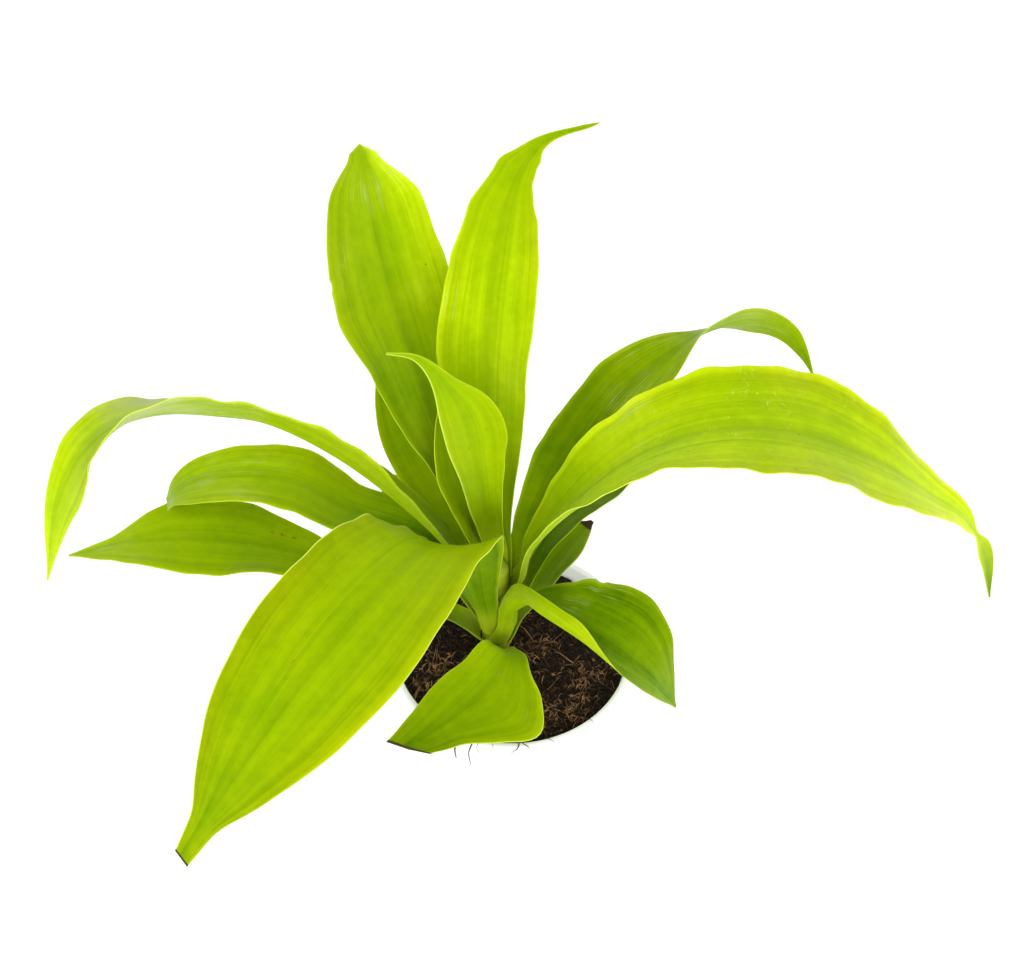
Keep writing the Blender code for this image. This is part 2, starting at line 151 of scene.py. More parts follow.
class PlantColours(bpy.types.PropertyGroup):
    """Colours of the plant and its pot."""
    shade: colour("Shade green", "Darkest leaf colour", (0.045, 0.100, 0.0005))
    deep: colour("Deep green", "Shaded leaf", (0.100, 0.200, 0.0005))
    mid: colour("Mid green", "Common leaf colour", (0.195, 0.310, 0.001))
    lime: colour("Lime", "Bright leaf", (0.268, 0.400, 0.001))
    bright: colour("Bright lime", "Brightest leaf colour", (0.440, 0.610, 0.004))
    glowing: colour("Glowing lime", "Thin leaf that lets the light through", (0.680, 0.840, 0.010))
    # painted sheen: the pale grey reflection of a glossy blade, painted into its colour
    bloom: colour("Bloom", "Pale greyish gloss", (0.370, 0.445, 0.155))
    margin: colour("Margin", "Thin pale margin", (0.570, 0.680, 0.130))
    base: colour("Leaf base", "Pale foot of a leaf", (0.520, 0.640, 0.014))
    scar: colour("Scar", "Small brown scars", (0.190, 0.085, 0.012))
    dry: colour("Dry tip", "Dried tips and cut ends", (0.045, 0.028, 0.016))
    cane: colour("Cane", "Skin of the cane", (0.300, 0.380, 0.010))
    peat: colour("Peat", "Soil", (0.010, 0.0055, 0.003))
    bark: colour("Bark", "Dark fibres and chips of bark", (0.055, 0.023, 0.011))
    fibre: colour("Fibre", "Pale fibres and chips", (0.270, 0.145, 0.066))
    root: colour("Root", "Dried roots over the rim", (0.110, 0.060, 0.032))
    pot: colour("Pot", "White plastic", (0.975, 0.975, 0.970))
    floor: colour("Floor", "Studio floor", (0.920, 0.920, 0.920))


class StageLook(bpy.types.PropertyGroup):
    """The camera and the light."""
    lens: number("Lens", "Focal length", 64.0, unit="CAMERA")
    pitch: number("Pitch", "Angle below the horizon", math.radians(48.8), subtype="ANGLE")
    distance: length("Distance", "Distance from camera to the aim point", 0.8)
    aim: length("Aim height", "Height of the point at the picture's centre", 0.228)
    world: number("World", "Strength of the even light", 0.85)
    glow: number("Glow", "Light that the floor adds", 0.15)
    key: number("Key", "Power of the light from the left", 9.0, subtype="POWER")
    fill: number("Fill", "Power of the light from the right", 9.0, subtype="POWER")
    front: number("Front", "Power of the light beside the camera", 9.0, subtype="POWER")


KEEL = 0.08                       # how far a blade's halves rise from its midrib, over their width
WAVE = (2.0, 4.0)                 # height in millimetres and number of a margin's waves
WAVE_LAG = 0.37                   # part of a wave that the right margin is ahead of the left one
WAVE_FULL_WIDTH = 40.0 * MM       # width from which a blade waves at full height
WAVERS = ((0.012, 19.0 * MM), (0.016, 7.7 * MM))    # share and pace of a margin's small unevenness
LEAST_WIDTH = 0.9 * MM
FOOT_RUN = (6.0 * MM, 14.0 * MM)  # how far up the straight foot a midrib is pinned
CLASP_CURL = 28.0                 # degrees that a foot curls more where it clasps the cane
GROOVE_WIDTH = 1.5 * MM
RIDGE_WIDTH = 1.6 * MM
THIN_RUN = 3.0                    # millimetres over which a blade thins towards its margin
PALE_RUN = 36.0 * MM              # length of the pale foot
NO_LIGHT, ALL_LIGHT = 0.0, 1.25   # limits of the tones
BROWN = (0.180, 0.095, 0.030)
WHITE = (1.0, 1.0, 1.0)
STEM_AXIS = ((STEM_LOW.x + STEM_HIGH.x) / 2, (STEM_LOW.y + STEM_HIGH.y) / 2)

# Edges of the turned bodies, in millimetres: radius or step inwards, then height
STACKING_RING = ((30, 0), (30.6, 1.2), (35.4, 1.2), (36, 0))
FOOT_EDGE = ((1.5, 0), (0.75, 0.2), (0.2, 0.75), (0, 1.5))
BAND_EDGE = ((1.4, 0.1), (0.8, 0.4), (0.6, 1.0))
SCAR_EDGE = ((0, 0), (0.6, 0.5), (1, 0.8), (0.4, 1.2), (0, 2.0))    # first a share of the depth
LIP = 1.2 * MM

SOIL_REACH = 56.5 * MM            # where the soil meets the wall
LITTER_REACH = 53.5 * MM          # litter starts inside this
FIBRE_REACH = 54.5 * MM           # fibres end inside this
STEM_CLEAR = 8.5 * MM             # litter starts outside this
FIBRE_RADIUS = 0.14 * MM
ROOT_RADIUS = 0.22 / 0.3 * MM     # of a root whose thickness is 1

LAMPS = (("key", 1.1, (-0.75, -0.65, 1.45)), ("fill", 1.4, (1.1, -0.5, 1.2)),
         ("front", 0.9, (0.1, -1.15, 0.65)))                        # name, size and place
LAMP_AIM = Vector((0.0, 0.0, 0.18))
FLOOR_SIZE = 8.0
FLOOR_DROP = 0.2 * MM


def leaf(name, foot, course, widths, **shape):
    """One row of the leaf table, as the solids have it, with the marks of its surface.

    foot is compass angle, height in millimetres and lean in degrees. course, widths, left_more and
    right_more are in millimetres, curl, left, right and roll are angles in degrees. Lists run at
    even steps from foot to tip. wave is the height in millimetres and the number of the margins'
    waves, slant how far the right margin's end runs ahead in millimetres, and point the length in
    millimetres over which the end is rounded off. swells and nicks are (side, share of length,
    height or depth in millimetres, reach) where a margin bulges, draws in or is torn.

    tone and under are the lightness of the two faces with painted light and shade in it: darker
    where a leaf lies in shade, lighter up to a painted glow where it is lit or thin. bloom and
    bloom_under are a painted pale sheen, the reflection of a glossy blade, wear is how scratched
    the blade is. sides is what its left and right halves add to that lightness and rim how pale
    its left and right margins are. yellow is how far its outer parts turn yellow, scars are
    (across, along, radius in millimetres) and dry is where a dried tip begins.
    """
    return {"name": name, "foot": foot, "course": course, "widths": widths, **shape}


# tone and under paint light and shade: darker in shade deep in the crown, up to a glow where lit or
# thin
LEAVES = [
    leaf("tall_left", (131, 149, 20),
         [(-25, 24, 200), (-40, 46, 244), (-54, 68, 286), (-62, 86, 316), (-66, 102, 334)],
         (10, 12, 19, 30, 41, 50, 55, 57, 53, 39, 4), curl=(40, 55, 34, 18, 10, 8), point=5,
         left_more=(0, 0, 0, 0, 0, 0, 2, 4, 3, 0, 0), right_more=(0, 0, 0, 0, 0, 0, 0, 0, 0, 1, 0),
         tone=(0.58, 0.56, 0.42, 0.52, 0.58), sides=(0, 0.36), bloom=(0, 0, 0, 0.2, 0.3),
         swells=((1, 0.91, 2.3, 0.08), (-1, 0.92, 0.8, 0.05), (1, 0.985, 2.5, 0.012),
                 (-1, 0.985, 2.5, 0.012)),
         nicks=((-1, 0.755, 1.6, 0.015),)),
    leaf("tall_right", (78, 152.5, 17),
         [(-9, 22, 205), (-12, 38, 250), (-9, 60, 293), (-1, 84, 321), (12, 100, 335),
          (38, 108, 341)],
         (10, 13, 24, 35, 40, 43, 43, 38, 20, 6, 2), curl=(40, 50, 30, 20, 14, 14),
         left_more=(0, 0, 0, 1, 1, 0, -2, -2, 1, 0, 0),
         right_more=(0, 0, 0, 0, 0, 0, 0, 0, 0, -1, 0),
         tone=(0.58, 0.52, 0.72, 0.64, 0.48), bloom=(0, 0, 0.18, 0.14, 0), point=7,
         swells=((-1, 0.83, 1.6, 0.016), (-1, 0.75, 1.0, 0.02), (-1, 0.66, 0.7, 0.02),
                 (1, 0.86, 1.2, 0.012), (1, 0.81, -1.0, 0.014), (1, 0.745, 1.0, 0.02))),
    leaf("young_front", (96, 160, 4),
         [(-13, 3, 213), (-16, 4, 238), (-20, 7, 261), (-26, 9, 276), (-33, 10, 288),
          (-41, 10, 296), (-52, 9, 299)],
         (9, 11, 14, 17, 21, 26, 28, 22, 10, 4, 1), curl=(40, 60, 50, 30, 20, 20),
         roll=(0, -10, -20), left_more=(0, 0, 0, -1, -2, -3, -2, 0, 1, 0, 0),
         right_more=(0, 0, 0, 0, 0, 0, 2, 2.5, 0, 0, 0), wave=(1.0, 3.0),
         tone=(0.62, 0.60, 0.62, 0.62, 0.60), rim=(0.6, 0.1),
         scars=((0.74, 0.62, 0.7), (0.42, 0.56, 0.6))),
    leaf("young_back", (173, 156, 12),
         [(-20, 8, 198), (-26, 12, 226), (-29, 16, 248), (-31, 19, 262)],
         (9, 12, 16, 19, 23, 25, 26, 25, 21, 13, 1), curl=(40, 50, 40, 20, 20, 20),
         roll=(0, 30, 40), wave=(1.0, 2.0),
         tone=(0.60, 0.62, 0.56)),
    leaf("long_left", (158, 138.5, 26),
         [(-38, 12, 182), (-76, 26, 214), (-110, 36, 229), (-133, 40, 230), (-158, 42, 229),
          (-178, 42, 222), (-197, 40, 206), (-213, 34, 180), (-228, 26, 126)],
         (10, 17, 26, 32, 36, 40, 42, 38, 27, 12, 1), curl=(40, 50, 24, 16, 16, 16),
         roll=(0, -42, -60, -60, -20, 56, 62), right_more=(0, 0, 0, 0, 0, 0, 0, -1, -5, -2, 0),
         tone=(0.46, 0.62, 0.66, 0.72, 0.80, 0.92), under=(0.6, 0.7, 0.8),
         bloom=(0, 0, 0.1, 0.5, 0.75, 0.6, 0.2, 0.1, 0.1),
         bloom_under=(0, 0, 0, 0.2, 0.5, 0.6, 0.4, 0.2, 0.1), scars=((0.7, 0.62, 0.8),)),
    leaf("mid_left", (162, 131.5, 34),
         [(-38, 14, 172), (-78, 26, 180), (-99, 32, 191), (-122, 34, 194), (-143, 33, 192),
          (-157, 31, 186), (-162, 30, 178)],
         (10, 13, 18, 24, 29, 32, 35, 35, 32, 25, 8), curl=(40, 50, 24, 12, 10, 10),
         wave=(1.6, 3.0),
         tone=(0.24, 0.20, 0.38, 0.62, 0.72, 0.68), bloom=(0, 0, 0, 0.2, 0.3, 0.4)),
    leaf("low_left", (178, 110.5, 40),
         [(-53, 6, 144), (-93, 10, 164), (-129, 14, 171), (-170, 16, 169), (-211, 18, 155)],
         (10, 12, 14, 17, 23, 33, 42, 42, 33, 18, 1), curl=(40, 40, 20, 12, 10, 10),
         roll=(0, 6, 6), right_more=(0, 0, 0, -1, -3, -3, 0, 1, 0, -2, 0),
         tone=(0.20, 0.25, 0.36, 0.50, 0.60, 0.66), bloom=(0.4, 0.2, 0, 0.1, 0.2, 0.4),
         swells=((1, 0.89, -2.4, 0.05), (1, 0.74, 1.2, 0.04), (-1, 0.60, 1.0, 0.04),
                 (-1, 0.88, -1.2, 0.04)),
         scars=((0.75, 0.49, 1.0), (0.73, 0.515, 1.1), (0.71, 0.54, 0.9))),
    leaf("big_front", (-122, 121, 10),
         [(-19, -12, 165), (-28, -27, 216), (-38, -44, 236), (-55, -68, 239), (-77, -94, 230),
          (-104, -122, 206), (-136, -150, 165)],
         (10, 19, 33, 45, 56, 64, 67, 62, 47, 25, 8), curl=(40, 50, 20, 6, 6, 8),
         roll=(0, -15, -12, 15, 25, 25), slant=-1.5,
         tone=(0.20, 0.24, 0.54, 0.48, 0.45, 0.42, 0.40), sides=(0.05, -0.08), yellow=1.0,
         under=(0.16, 0.2, 0.3),
         swells=((1, 0.93, -2.0, 0.035), (-1, 0.93, -2.4, 0.04)), rim=(0.3, 0.8), dry=0.997,
         wear=(0, 0, 0.3, 0, 0, 0), scars=((0.62, 0.68, 0.9), (0.24, 0.45, 0.4))),
    leaf("small_front", (-95, 101, 24),
         [(-6, -12, 120), (-2, -24, 133), (-7, -34, 134), (-16, -46, 132), (-30, -60, 131),
          (-47, -75, 131)],
         (10, 11, 14, 22, 34, 42, 46, 44, 36, 26, 17), curl=(40, 40, 20, 12, 10, 10), slant=6,
         left_more=(0, 0, 0, -5, -5, 6, 13, 4, -2, -1, 0),
         right_more=(0, 0, 0, -1, -3, -6, -6, -5, -3, -1, 0), wave=(0.8, 2.5),
         tone=(0.50, 0.60, 0.68, 0.56, 0.44, 0.26), bloom=(0, 0.1, 0.22, 0.1, 0),
         rim=(0.4, 0.2), dry=0.993),
    leaf("low_right", (-50, 114, 16),
         [(1, -8, 145), (10, -13, 159), (20, -24, 164), (40, -36, 160), (62, -42, 143),
          (77, -42, 116)],
         (10, 13, 14, 17, 29, 38, 42, 42, 32, 16, 1), left=(40, 50, 40, 20, 12, 10, 10),
         right=(40, 60, 120, 140, 60, 20, 10), roll=(0, 0, -8, -16, -24),
         left_more=(0, 0, 0, -1, 2, 7, 10, 9, 6, 2, 0),
         right_more=(0, 0, 0, 4, 5, 2, -3, -8, -7, -3, 0),
         wave=(1.4, 3.0),
         tone=(0.40, 0.32, 0.24, 0.18, 0.24, 0.34), under=(0.45, 0.50, 0.70, 0.74, 0.6),
         bloom=(0, 0.1, 0.3, 0.05, 0.15), bloom_under=(0, 0), nicks=((-1, 0.50, 2.0, 0.02),),
         scars=((0.4, 0.58, 0.8), (0.3, 0.63, 0.6), (0.35, 0.72, 0.6))),
    leaf("big_right", (-8, 145.5, 24),
         [(10, 2, 182), (35, 10, 213), (61, 14, 235), (91, 16, 246), (126, 16, 243), (163, 12, 228),
          (190, 8, 209), (205, 7, 197), (219, 4, 174), (226, 0, 146)],
         (10, 14, 28, 42, 53, 60, 65, 66, 58, 40, 15, 9, 1), curl=(40, 50, 24, 12, 10, 10),
         roll=(0, -3, -7, -9.5, -11, -12, -11, -10, -12, -50, -80), wave=(2.0, 5.0),
         tone=(0.50, 0.70, 0.80, 0.70, 0.80, 1.0, 0.25),
         bloom=(0, 0.05, 0.2, 0.2, 0, 0, 0.2, 0.3, 0.1), yellow=0.8,
         swells=((-1, 0.345, 2.8, 0.045), (-1, 0.57, 5.0, 0.06), (1, 0.2, 1.6, 0.08),
                 (-1, 0.87, -4.0, 0.02), (1, 0.87, -4.0, 0.02)),
         rim=(0.2, 0.35), wear=(0, 0.3, 0.6, 1, 1, 0.9, 0.5),
         scars=((0.5, 0.42, 0.4), (0.35, 0.55, 0.4))),
    leaf("far_right", (44, 142, 28),
         [(15, 22, 186), (32, 44, 201), (52, 67, 216), (73, 79, 229), (94, 87, 238), (116, 90, 239),
          (129, 88, 234), (137, 82, 226), (142, 76, 218)],
         (10, 15, 25, 34, 37, 36, 28, 16, 17, 11, 1), curl=(40, 50, 24, 14, 10, 10),
         roll=(0, 0, 0, 0, 0, 5, 70, 100, 95), wave=(1.2, 4.0),
         tone=(0.52, 0.38, 0.27, 0.44, 0.48, 0.46), bloom=(0, 0, 0.2, 0.4, 0.1),
         swells=((1, 0.80, 2.0, 0.05), (-1, 0.81, 1.6, 0.05))),
    leaf("under_right", (34, 128, 32),
         [(14, 22, 158), (33, 40, 172), (62, 58, 183), (91, 70, 187), (119, 74, 184)],
         (10, 15, 23, 30, 34, 36, 35, 31, 24, 14, 1), curl=(40, 50, 40, 40, 30, 20),
         wave=(1.4, 3.0),
         tone=(0.14, 0.29, 0.34), bloom=(0, 0.3, 0.3, 0.2)),
    leaf("short_right", (30, 107, 22),
         [(8, 14, 129), (22, 26, 144), (32, 35, 151), (39, 41, 153)],
         (10, 12, 14, 18, 22, 26, 28, 27, 23, 14, 2), curl=(40, 50, 40, 40, 30, 20),
         wave=(1.0, 1.5),
         tone=(0.34, 0.40, 0.46), dry=0.93),
    leaf("behind_left", (106, 124.5, 28),
         [(-27, 36, 168), (-42, 54, 190), (-54, 69, 213), (-62, 84, 232)],
         (10, 12, 16, 21, 27, 32, 34, 32, 25, 13, 1), curl=(40, 50, 24, 12, 10, 10),
         wave=(1.4, 2.5),
         tone=(0.46, 0.50, 0.52)),
    leaf("back_left", (138, 121, 46),
         [(-40, 40, 146), (-55, 60, 153), (-67, 74, 152)],
         (10, 13, 18, 23, 26, 28, 28, 26, 20, 11, 1), curl=(40, 50, 20, 12, 10, 10),
         wave=(1.2, 2.0),
         tone=(0.30, 0.42, 0.45)),
]

# Places where pale fibres and chips lie thickest, across and away from the viewer in millimetres
CLUMPS = [(-34, -6), (-42, -18), (17, -36), (36, -14), (12, 4), (30, -30), (-20, -34)]

# Dried roots over the front of the rim: compass angle, hang in millimetres and thickness
RIM_ROOTS = [(-114, 15.0, 1.2), (-111, 5.0, 0.5), (-107, 17.0, 0.7), (-104, 8.0, 0.34),
             (-99, 3.0, 0.26), (-88, 3.0, 0.62), (-84, 2.5, 0.50), (-72, 11.0, 0.22),
             (-134, 6.0, 0.26), (-50, 7.0, 0.20)]


def sizes(context, group):
    """One of this add-on's property groups."""
    return getattr(context.scene, "dracaena_" + group)


def start_clean():
    """Nothing is selected, and no object is in edit mode."""
    if bpy.context.mode != "OBJECT":
        bpy.ops.object.mode_set(mode="OBJECT")
    bpy.ops.object.select_all(action="DESELECT")


def take(obj):
    """Makes the object the only selected one."""
    start_clean()
    obj.select_set(True)
    bpy.context.view_layer.objects.active = obj
    return obj


@contextmanager
def editing():
    """Edit mode, for the lines that stand under it."""
    bpy.ops.object.mode_set(mode="EDIT")
    yield
    bpy.ops.object.mode_set(mode="OBJECT")


def face_out():
    """Turns every face of the mesh in edit mode outwards."""
    bpy.ops.mesh.select_all(action="SELECT")
    bpy.ops.mesh.normals_make_consistent(inside=False)


def smooth(obj, degrees):
    """Shades the object smoothly, but for edges sharper than this."""
    take(obj)
    bpy.ops.object.shade_smooth_by_angle(angle=math.radians(degrees))


def write_attribute(mesh, name, values):
    """Stores a value for each of the mesh's points, for its materials to read."""
    layer = mesh.attributes.new(name, "FLOAT", "POINT")
    layer.data.foreach_set("value", values.astype(np.float32))


def settle(obj, name, slot, *nodes, materials=()):
    """Names a finished piece, puts its place into its mesh and ties it to the frame."""
    take(obj)
    bpy.ops.object.transform_apply(location=True, rotation=True, scale=True)
    obj.name = name
    obj.data.name = name
    if materials:
        obj.data.materials.clear()
        for made in materials:
            obj.data.materials.append(made)
    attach(obj, "root")
    if nodes:
        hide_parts(*nodes)
    obj.select_set(False)
    return obj


def apply_modifier(obj, kind, **values):
    """Adds a modifier, sets its values and applies it."""
    take(obj)
    bpy.ops.object.modifier_add(type=kind)
    modifier = obj.modifiers[-1]
    for key, value in values.items():
        setattr(modifier, key, value)
    bpy.ops.object.modifier_apply(modifier=modifier.name)


def arc(turns):
    """Cosine and sine of each angle in degrees."""
    return [(math.cos(math.radians(turn)), math.sin(math.radians(turn))) for turn in turns]


def turn_profile(profile, sides, x=0.0, y=0.0):
    """Extrudes a disc ring by ring along (radius, height) points and returns the closed body."""
    start_clean()
    radius, height = profile[0]
    bpy.ops.mesh.primitive_circle_add(vertices=sides, radius=radius, fill_type="NGON",
                                      location=(x, y, height))
    with editing():
        bpy.ops.mesh.select_all(action="SELECT")
        for next_radius, next_height in profile[1:]:
            rise = (0.0, 0.0, next_height - height)
            bpy.ops.mesh.extrude_region_move(TRANSFORM_OT_translate={"value": rise})
            scale = next_radius / radius
            bpy.ops.transform.resize(value=(scale, scale, 1.0), center_override=(x, y, next_height))
            radius, height = next_radius, next_height
        face_out()
    return bpy.context.active_object


class Surface:
    """A Principled material with short calls for the nodes that this plant's finishes need."""

    def __init__(self, name, base, roughness, specular=0.5):
        self.material = bpy.data.materials.new(name)
        self.material.use_nodes = True
        self.material.diffuse_color = (*base, 1.0)
        self.nodes = self.material.node_tree.nodes
        self.links = self.material.node_tree.links
        self.shader = self.nodes["Principled BSDF"]
        self.paint(Base_Color=base, Roughness=roughness, Specular_IOR_Level=specular)

    def feed(self, socket, value):
        """Joins an output to the socket or sets its value."""
        if isinstance(value, bpy.types.NodeSocket):
            self.links.new(value, socket)
        elif socket.type == "RGBA":
            socket.default_value = (*value, 1.0)
        else:
            socket.default_value = value

    def paint(self, node=None, **inputs):
        """Sets the named inputs of a node, or of the shader itself, or joins outputs to them."""
        for key, value in inputs.items():
            self.feed((node or self.shader).inputs[key.replace("_", " ")], value)
        return self.material

    def add(self, kind, **inputs):
        """Adds a node with the named inputs."""
        node = self.nodes.new(kind)
        self.paint(node, **inputs)
        return node

    def maths(self, operation, first, second=0.0):
        """The output of a Math node."""
        node = self.nodes.new("ShaderNodeMath")
        node.operation = operation
        self.feed(node.inputs[0], first)
        self.feed(node.inputs[1], second)
        return node.outputs[0]

    def plus(self, first, second):
        """The sum of two values."""
        return self.maths("ADD", first, second)

    def times(self, first, second):
        """The product of two values."""
        return self.maths("MULTIPLY", first, second)

    def sway(self, value, amount):
        """How far a texture's value is from its middle, times an amount."""
        return self.times(self.maths("SUBTRACT", value, 0.5), amount)

    def step(self, value, low, high, to_low=0.0, to_high=1.0):
        """The value carried smoothly from low..high to to_low..to_high."""
        node = self.add("ShaderNodeMapRange", Value=value, From_Min=low, From_Max=high,
                        To_Min=to_low, To_Max=to_high)
        node.interpolation_type = "SMOOTHSTEP"
        return node.outputs["Result"]

    def mix(self, factor, first, second):
        """A colour between two."""
        node = self.nodes.new("ShaderNodeMix")
        node.data_type = "RGBA"
        self.feed(node.inputs["Factor"], factor)
        self.feed(node.inputs[6], first)
        self.feed(node.inputs[7], second)
        return node.outputs[2]

    def ramp(self, value, *stops):
        """A colour ramp through (place, colour) stops."""
        node = self.nodes.new("ShaderNodeValToRGB")
        while len(node.color_ramp.elements) < len(stops):
            node.color_ramp.elements.new(0.5)
        for element, (place, tint) in zip(node.color_ramp.elements, stops):
            element.position = place
            element.color = (*tint, 1.0)
        self.feed(node.inputs["Fac"], value)
        return node.outputs["Color"]

    def noise(self, vector, scale, detail=2.0, roughness=0.5, distortion=0.0):
        """The value of a noise texture."""
        return self.add("ShaderNodeTexNoise", Vector=vector, Scale=scale, Detail=detail,
                        Roughness=roughness, Distortion=distortion).outputs["Fac"]

    def place(self, which="Object"):
        """Object or UV coordinates."""
        return self.nodes.new("ShaderNodeTexCoord").outputs[which]

    def stretched(self, vector, scale, offset=(0.0, 0.0, 0.0)):
        """The coordinates scaled along each axis and moved."""
        return self.add("ShaderNodeMapping", Vector=vector, Scale=scale,
                        Location=offset).outputs["Vector"]

    def attribute(self, name):
        """The value of the mesh's own attribute."""
        node = self.nodes.new("ShaderNodeAttribute")
        node.attribute_name = name
        return node.outputs["Fac"]

    def bump(self, height, distance, strength=1.0):
        """Gives the shader a bump of this height in metres."""
        node = self.add("ShaderNodeBump", Height=height, Distance=distance, Strength=strength)
        self.paint(Normal=node.outputs["Normal"])


class LeafPattern:
    """What both faces of a leaf share: veins, bands, streaks, scratches, scars and dry ends."""

    def __init__(self, surface, colours):
        self.surface = surface
        self.colours = colours
        self.here = surface.place("Object")
        self.fine = self.lengthwise(130.0, 4.0, (0.0, 0.0), 2.0, 0.6)
        self.veins = self.lengthwise(38.0, 1.8, (1.7, 4.1), 2.0, 0.5)
        self.bands = self.lengthwise(7.5, 0.9, (3.1, 7.7), 1.0, 0.5, 0.6)
        self.streaks = self.lengthwise(52.0, 7.0, (9.2, 2.3), 3.0, 0.6)
        self.cloud = surface.noise(self.here, 30.0, 3.0, 0.55)
        self.mottle = surface.noise(self.here, 210.0, 3.0, 0.6)
        self.ragged = surface.noise(self.here, 900.0, 3.0, 0.6)

    def lengthwise(self, across, along, offset, *look):
        """A noise drawn out along the blade, given how often it changes across and along it."""
        s = self.surface
        return s.noise(s.stretched(s.place("UV"), (across, along, 1.0), (*offset, 0.0)), 1.0, *look)

    def light(self, attribute):
        """Lightness with painted light and shade, swayed by bands, veins, grain and clouds."""
        s = self.surface
        light = s.attribute(attribute)
        for pattern, amount in ((self.bands, 0.42), (self.veins, 0.26), (self.fine, 0.26),
                                (self.mottle, 0.22), (self.cloud, 0.24)):
            light = s.plus(light, s.sway(pattern, amount))
        return light

    def tint(self, light):
        """The leaf's colour for its lightness."""
        s, c = self.surface, self.colours
        green = s.ramp(s.times(light, 0.8), (0.0, c.shade), (0.16, c.deep), (0.36, c.mid),
                       (0.56, c.lime), (0.80, c.bright), (1.0, c.glowing))
        warmer = s.plus(s.times(s.attribute("yellow"), 0.026), s.sway(self.cloud, 0.030))
        turned = s.add("ShaderNodeHueSaturation", Color=green, Hue=s.maths("SUBTRACT", 0.5, warmer))
        return turned.outputs["Color"]

    def bloom(self, tint, attribute):
        """Painted reflection: pale glossy streaks where the blade turns from the light."""
        s = self.surface
        patchy = s.plus(self.streaks, s.sway(self.cloud, 0.7))
        share = s.step(s.plus(s.attribute(attribute), patchy), 0.80, 1.25)
        return s.mix(share, tint, self.colours.bloom)

    def dots(self, scale, low, high, share):
        """Round dots, one in each cell of a pattern of this scale."""
        s = self.surface
        cells = s.add("ShaderNodeTexVoronoi", Vector=self.here, Scale=scale)
        return s.step(cells.outputs["Distance"], low, high, share, 0.0)

    def scratches(self, tint):
        """Short pale scratches and specks on a worn blade."""
        s = self.surface
        wavy = s.noise(self.here, 120.0, 1.0, 0.5, 1.6)
        line = s.step(s.maths("ABSOLUTE", s.maths("SUBTRACT", wavy, 0.5)), 0.004, 0.015, 1.0, 0.0)
        moved = s.stretched(self.here, (1.0, 1.0, 1.0), (0.3, 0.1, 0.2))
        where = s.step(s.noise(moved, 75.0, 2.0), 0.54, 0.64)
        specks = s.times(self.dots(240.0, 0.06, 0.12, 1.0),
                         s.step(s.noise(self.here, 48.0, 1.0), 0.52, 0.60))
        worn = s.maths("MAXIMUM", s.times(s.times(line, where), 0.5), specks)
        return s.mix(s.times(s.times(s.attribute("wear"), worn), 0.6), tint, self.colours.margin)

    def marks(self, tint):
        """Paints dark specks, margin, scars and dried ends over the tint."""
        s, c = self.surface, self.colours
        rare = s.maths("GREATER_THAN", s.noise(self.here, 11.0, 1.0), 0.58)
        tint = s.mix(s.times(self.dots(70.0, 0.018, 0.034, 0.85), rare), tint, c.dry)
        edge = s.times(s.step(s.attribute("edge_mm"), 0.15, 0.6, 1.0, 0.0), s.attribute("rim"))
        tint = s.mix(edge, tint, c.margin)
        scar = s.step(s.plus(s.attribute("scar"), s.sway(self.ragged, 0.7)), 0.42, 0.75, 0.0, 0.8)
        tint = s.mix(scar, tint, c.scar)
        dry = s.step(s.plus(s.attribute("dry"), s.times(self.ragged, 0.3)), 0.5, 0.75)
        return s.mix(dry, tint, c.dry)

    def finish(self, tint, roughness, relief):
        """Gives the shader its skin: colour, gloss, fine relief and a little light from within."""
        self.surface.bump(relief, 0.16 * MM, 0.55)
        return self.surface.paint(Base_Color=tint, Roughness=roughness, Subsurface_Weight=0.55,
                                  Subsurface_Radius=(1.0, 1.0, 0.1), Subsurface_Scale=1.6 * MM,
                                  Specular_Tint=(0.85, 1.0, 0.0))


def blade_surface(colours):
    """Upper face of a leaf: lime green with soft bands, fine veins, painted light and shade and
    pale sheen.
    """
    surface = Surface("leaf_upper", colours.lime, 0.42, 0.18)
    pattern = LeafPattern(surface, colours)
    tint = pattern.tint(pattern.light("tone"))
    tint = surface.mix(surface.attribute("pale"), tint, colours.base)
    tint = pattern.scratches(pattern.bloom(tint, "bloom"))
    tint = pattern.marks(tint)
    gloss = surface.plus(surface.step(pattern.fine, 0.3, 0.7, 0.32, 0.46),
                         surface.times(surface.attribute("dry"), 0.3))
    relief = surface.plus(surface.times(pattern.fine, 0.6), surface.times(pattern.veins, 0.8))
    return pattern.finish(tint, gloss, relief)


def underside_surface(colours):
    """Underside of a leaf: paler and duller, raised veins, painted light and shade and pale sheen.
    """
    surface = Surface("leaf_underside", colours.mid, 0.52, 0.14)
    pattern = LeafPattern(surface, colours)
    tint = pattern.tint(pattern.light("under"))
    tint = surface.mix(surface.attribute("pale"), tint, colours.base)
    tint = pattern.marks(pattern.bloom(tint, "bloom_under"))
    relief = surface.plus(pattern.fine, pattern.veins)
    return pattern.finish(tint, surface.step(pattern.bands, 0.3, 0.7, 0.44, 0.58), relief)


def margin_surface(colours):
    """Thin rim of a leaf with painted light and shade, paler at the margin, brown where dried or
    cut.
    """
    surface = Surface("leaf_margin", colours.lime, 0.5, 0.2)
    pattern = LeafPattern(surface, colours)
    tint = pattern.tint(surface.plus(pattern.light("tone"), 0.1))
    tint = surface.mix(surface.attribute("rim"), tint, colours.margin)
    tint = surface.mix(surface.step(surface.attribute("dry"), 0.15, 0.5), tint, colours.dry)
    return pattern.finish(tint, pattern.ragged, pattern.ragged)


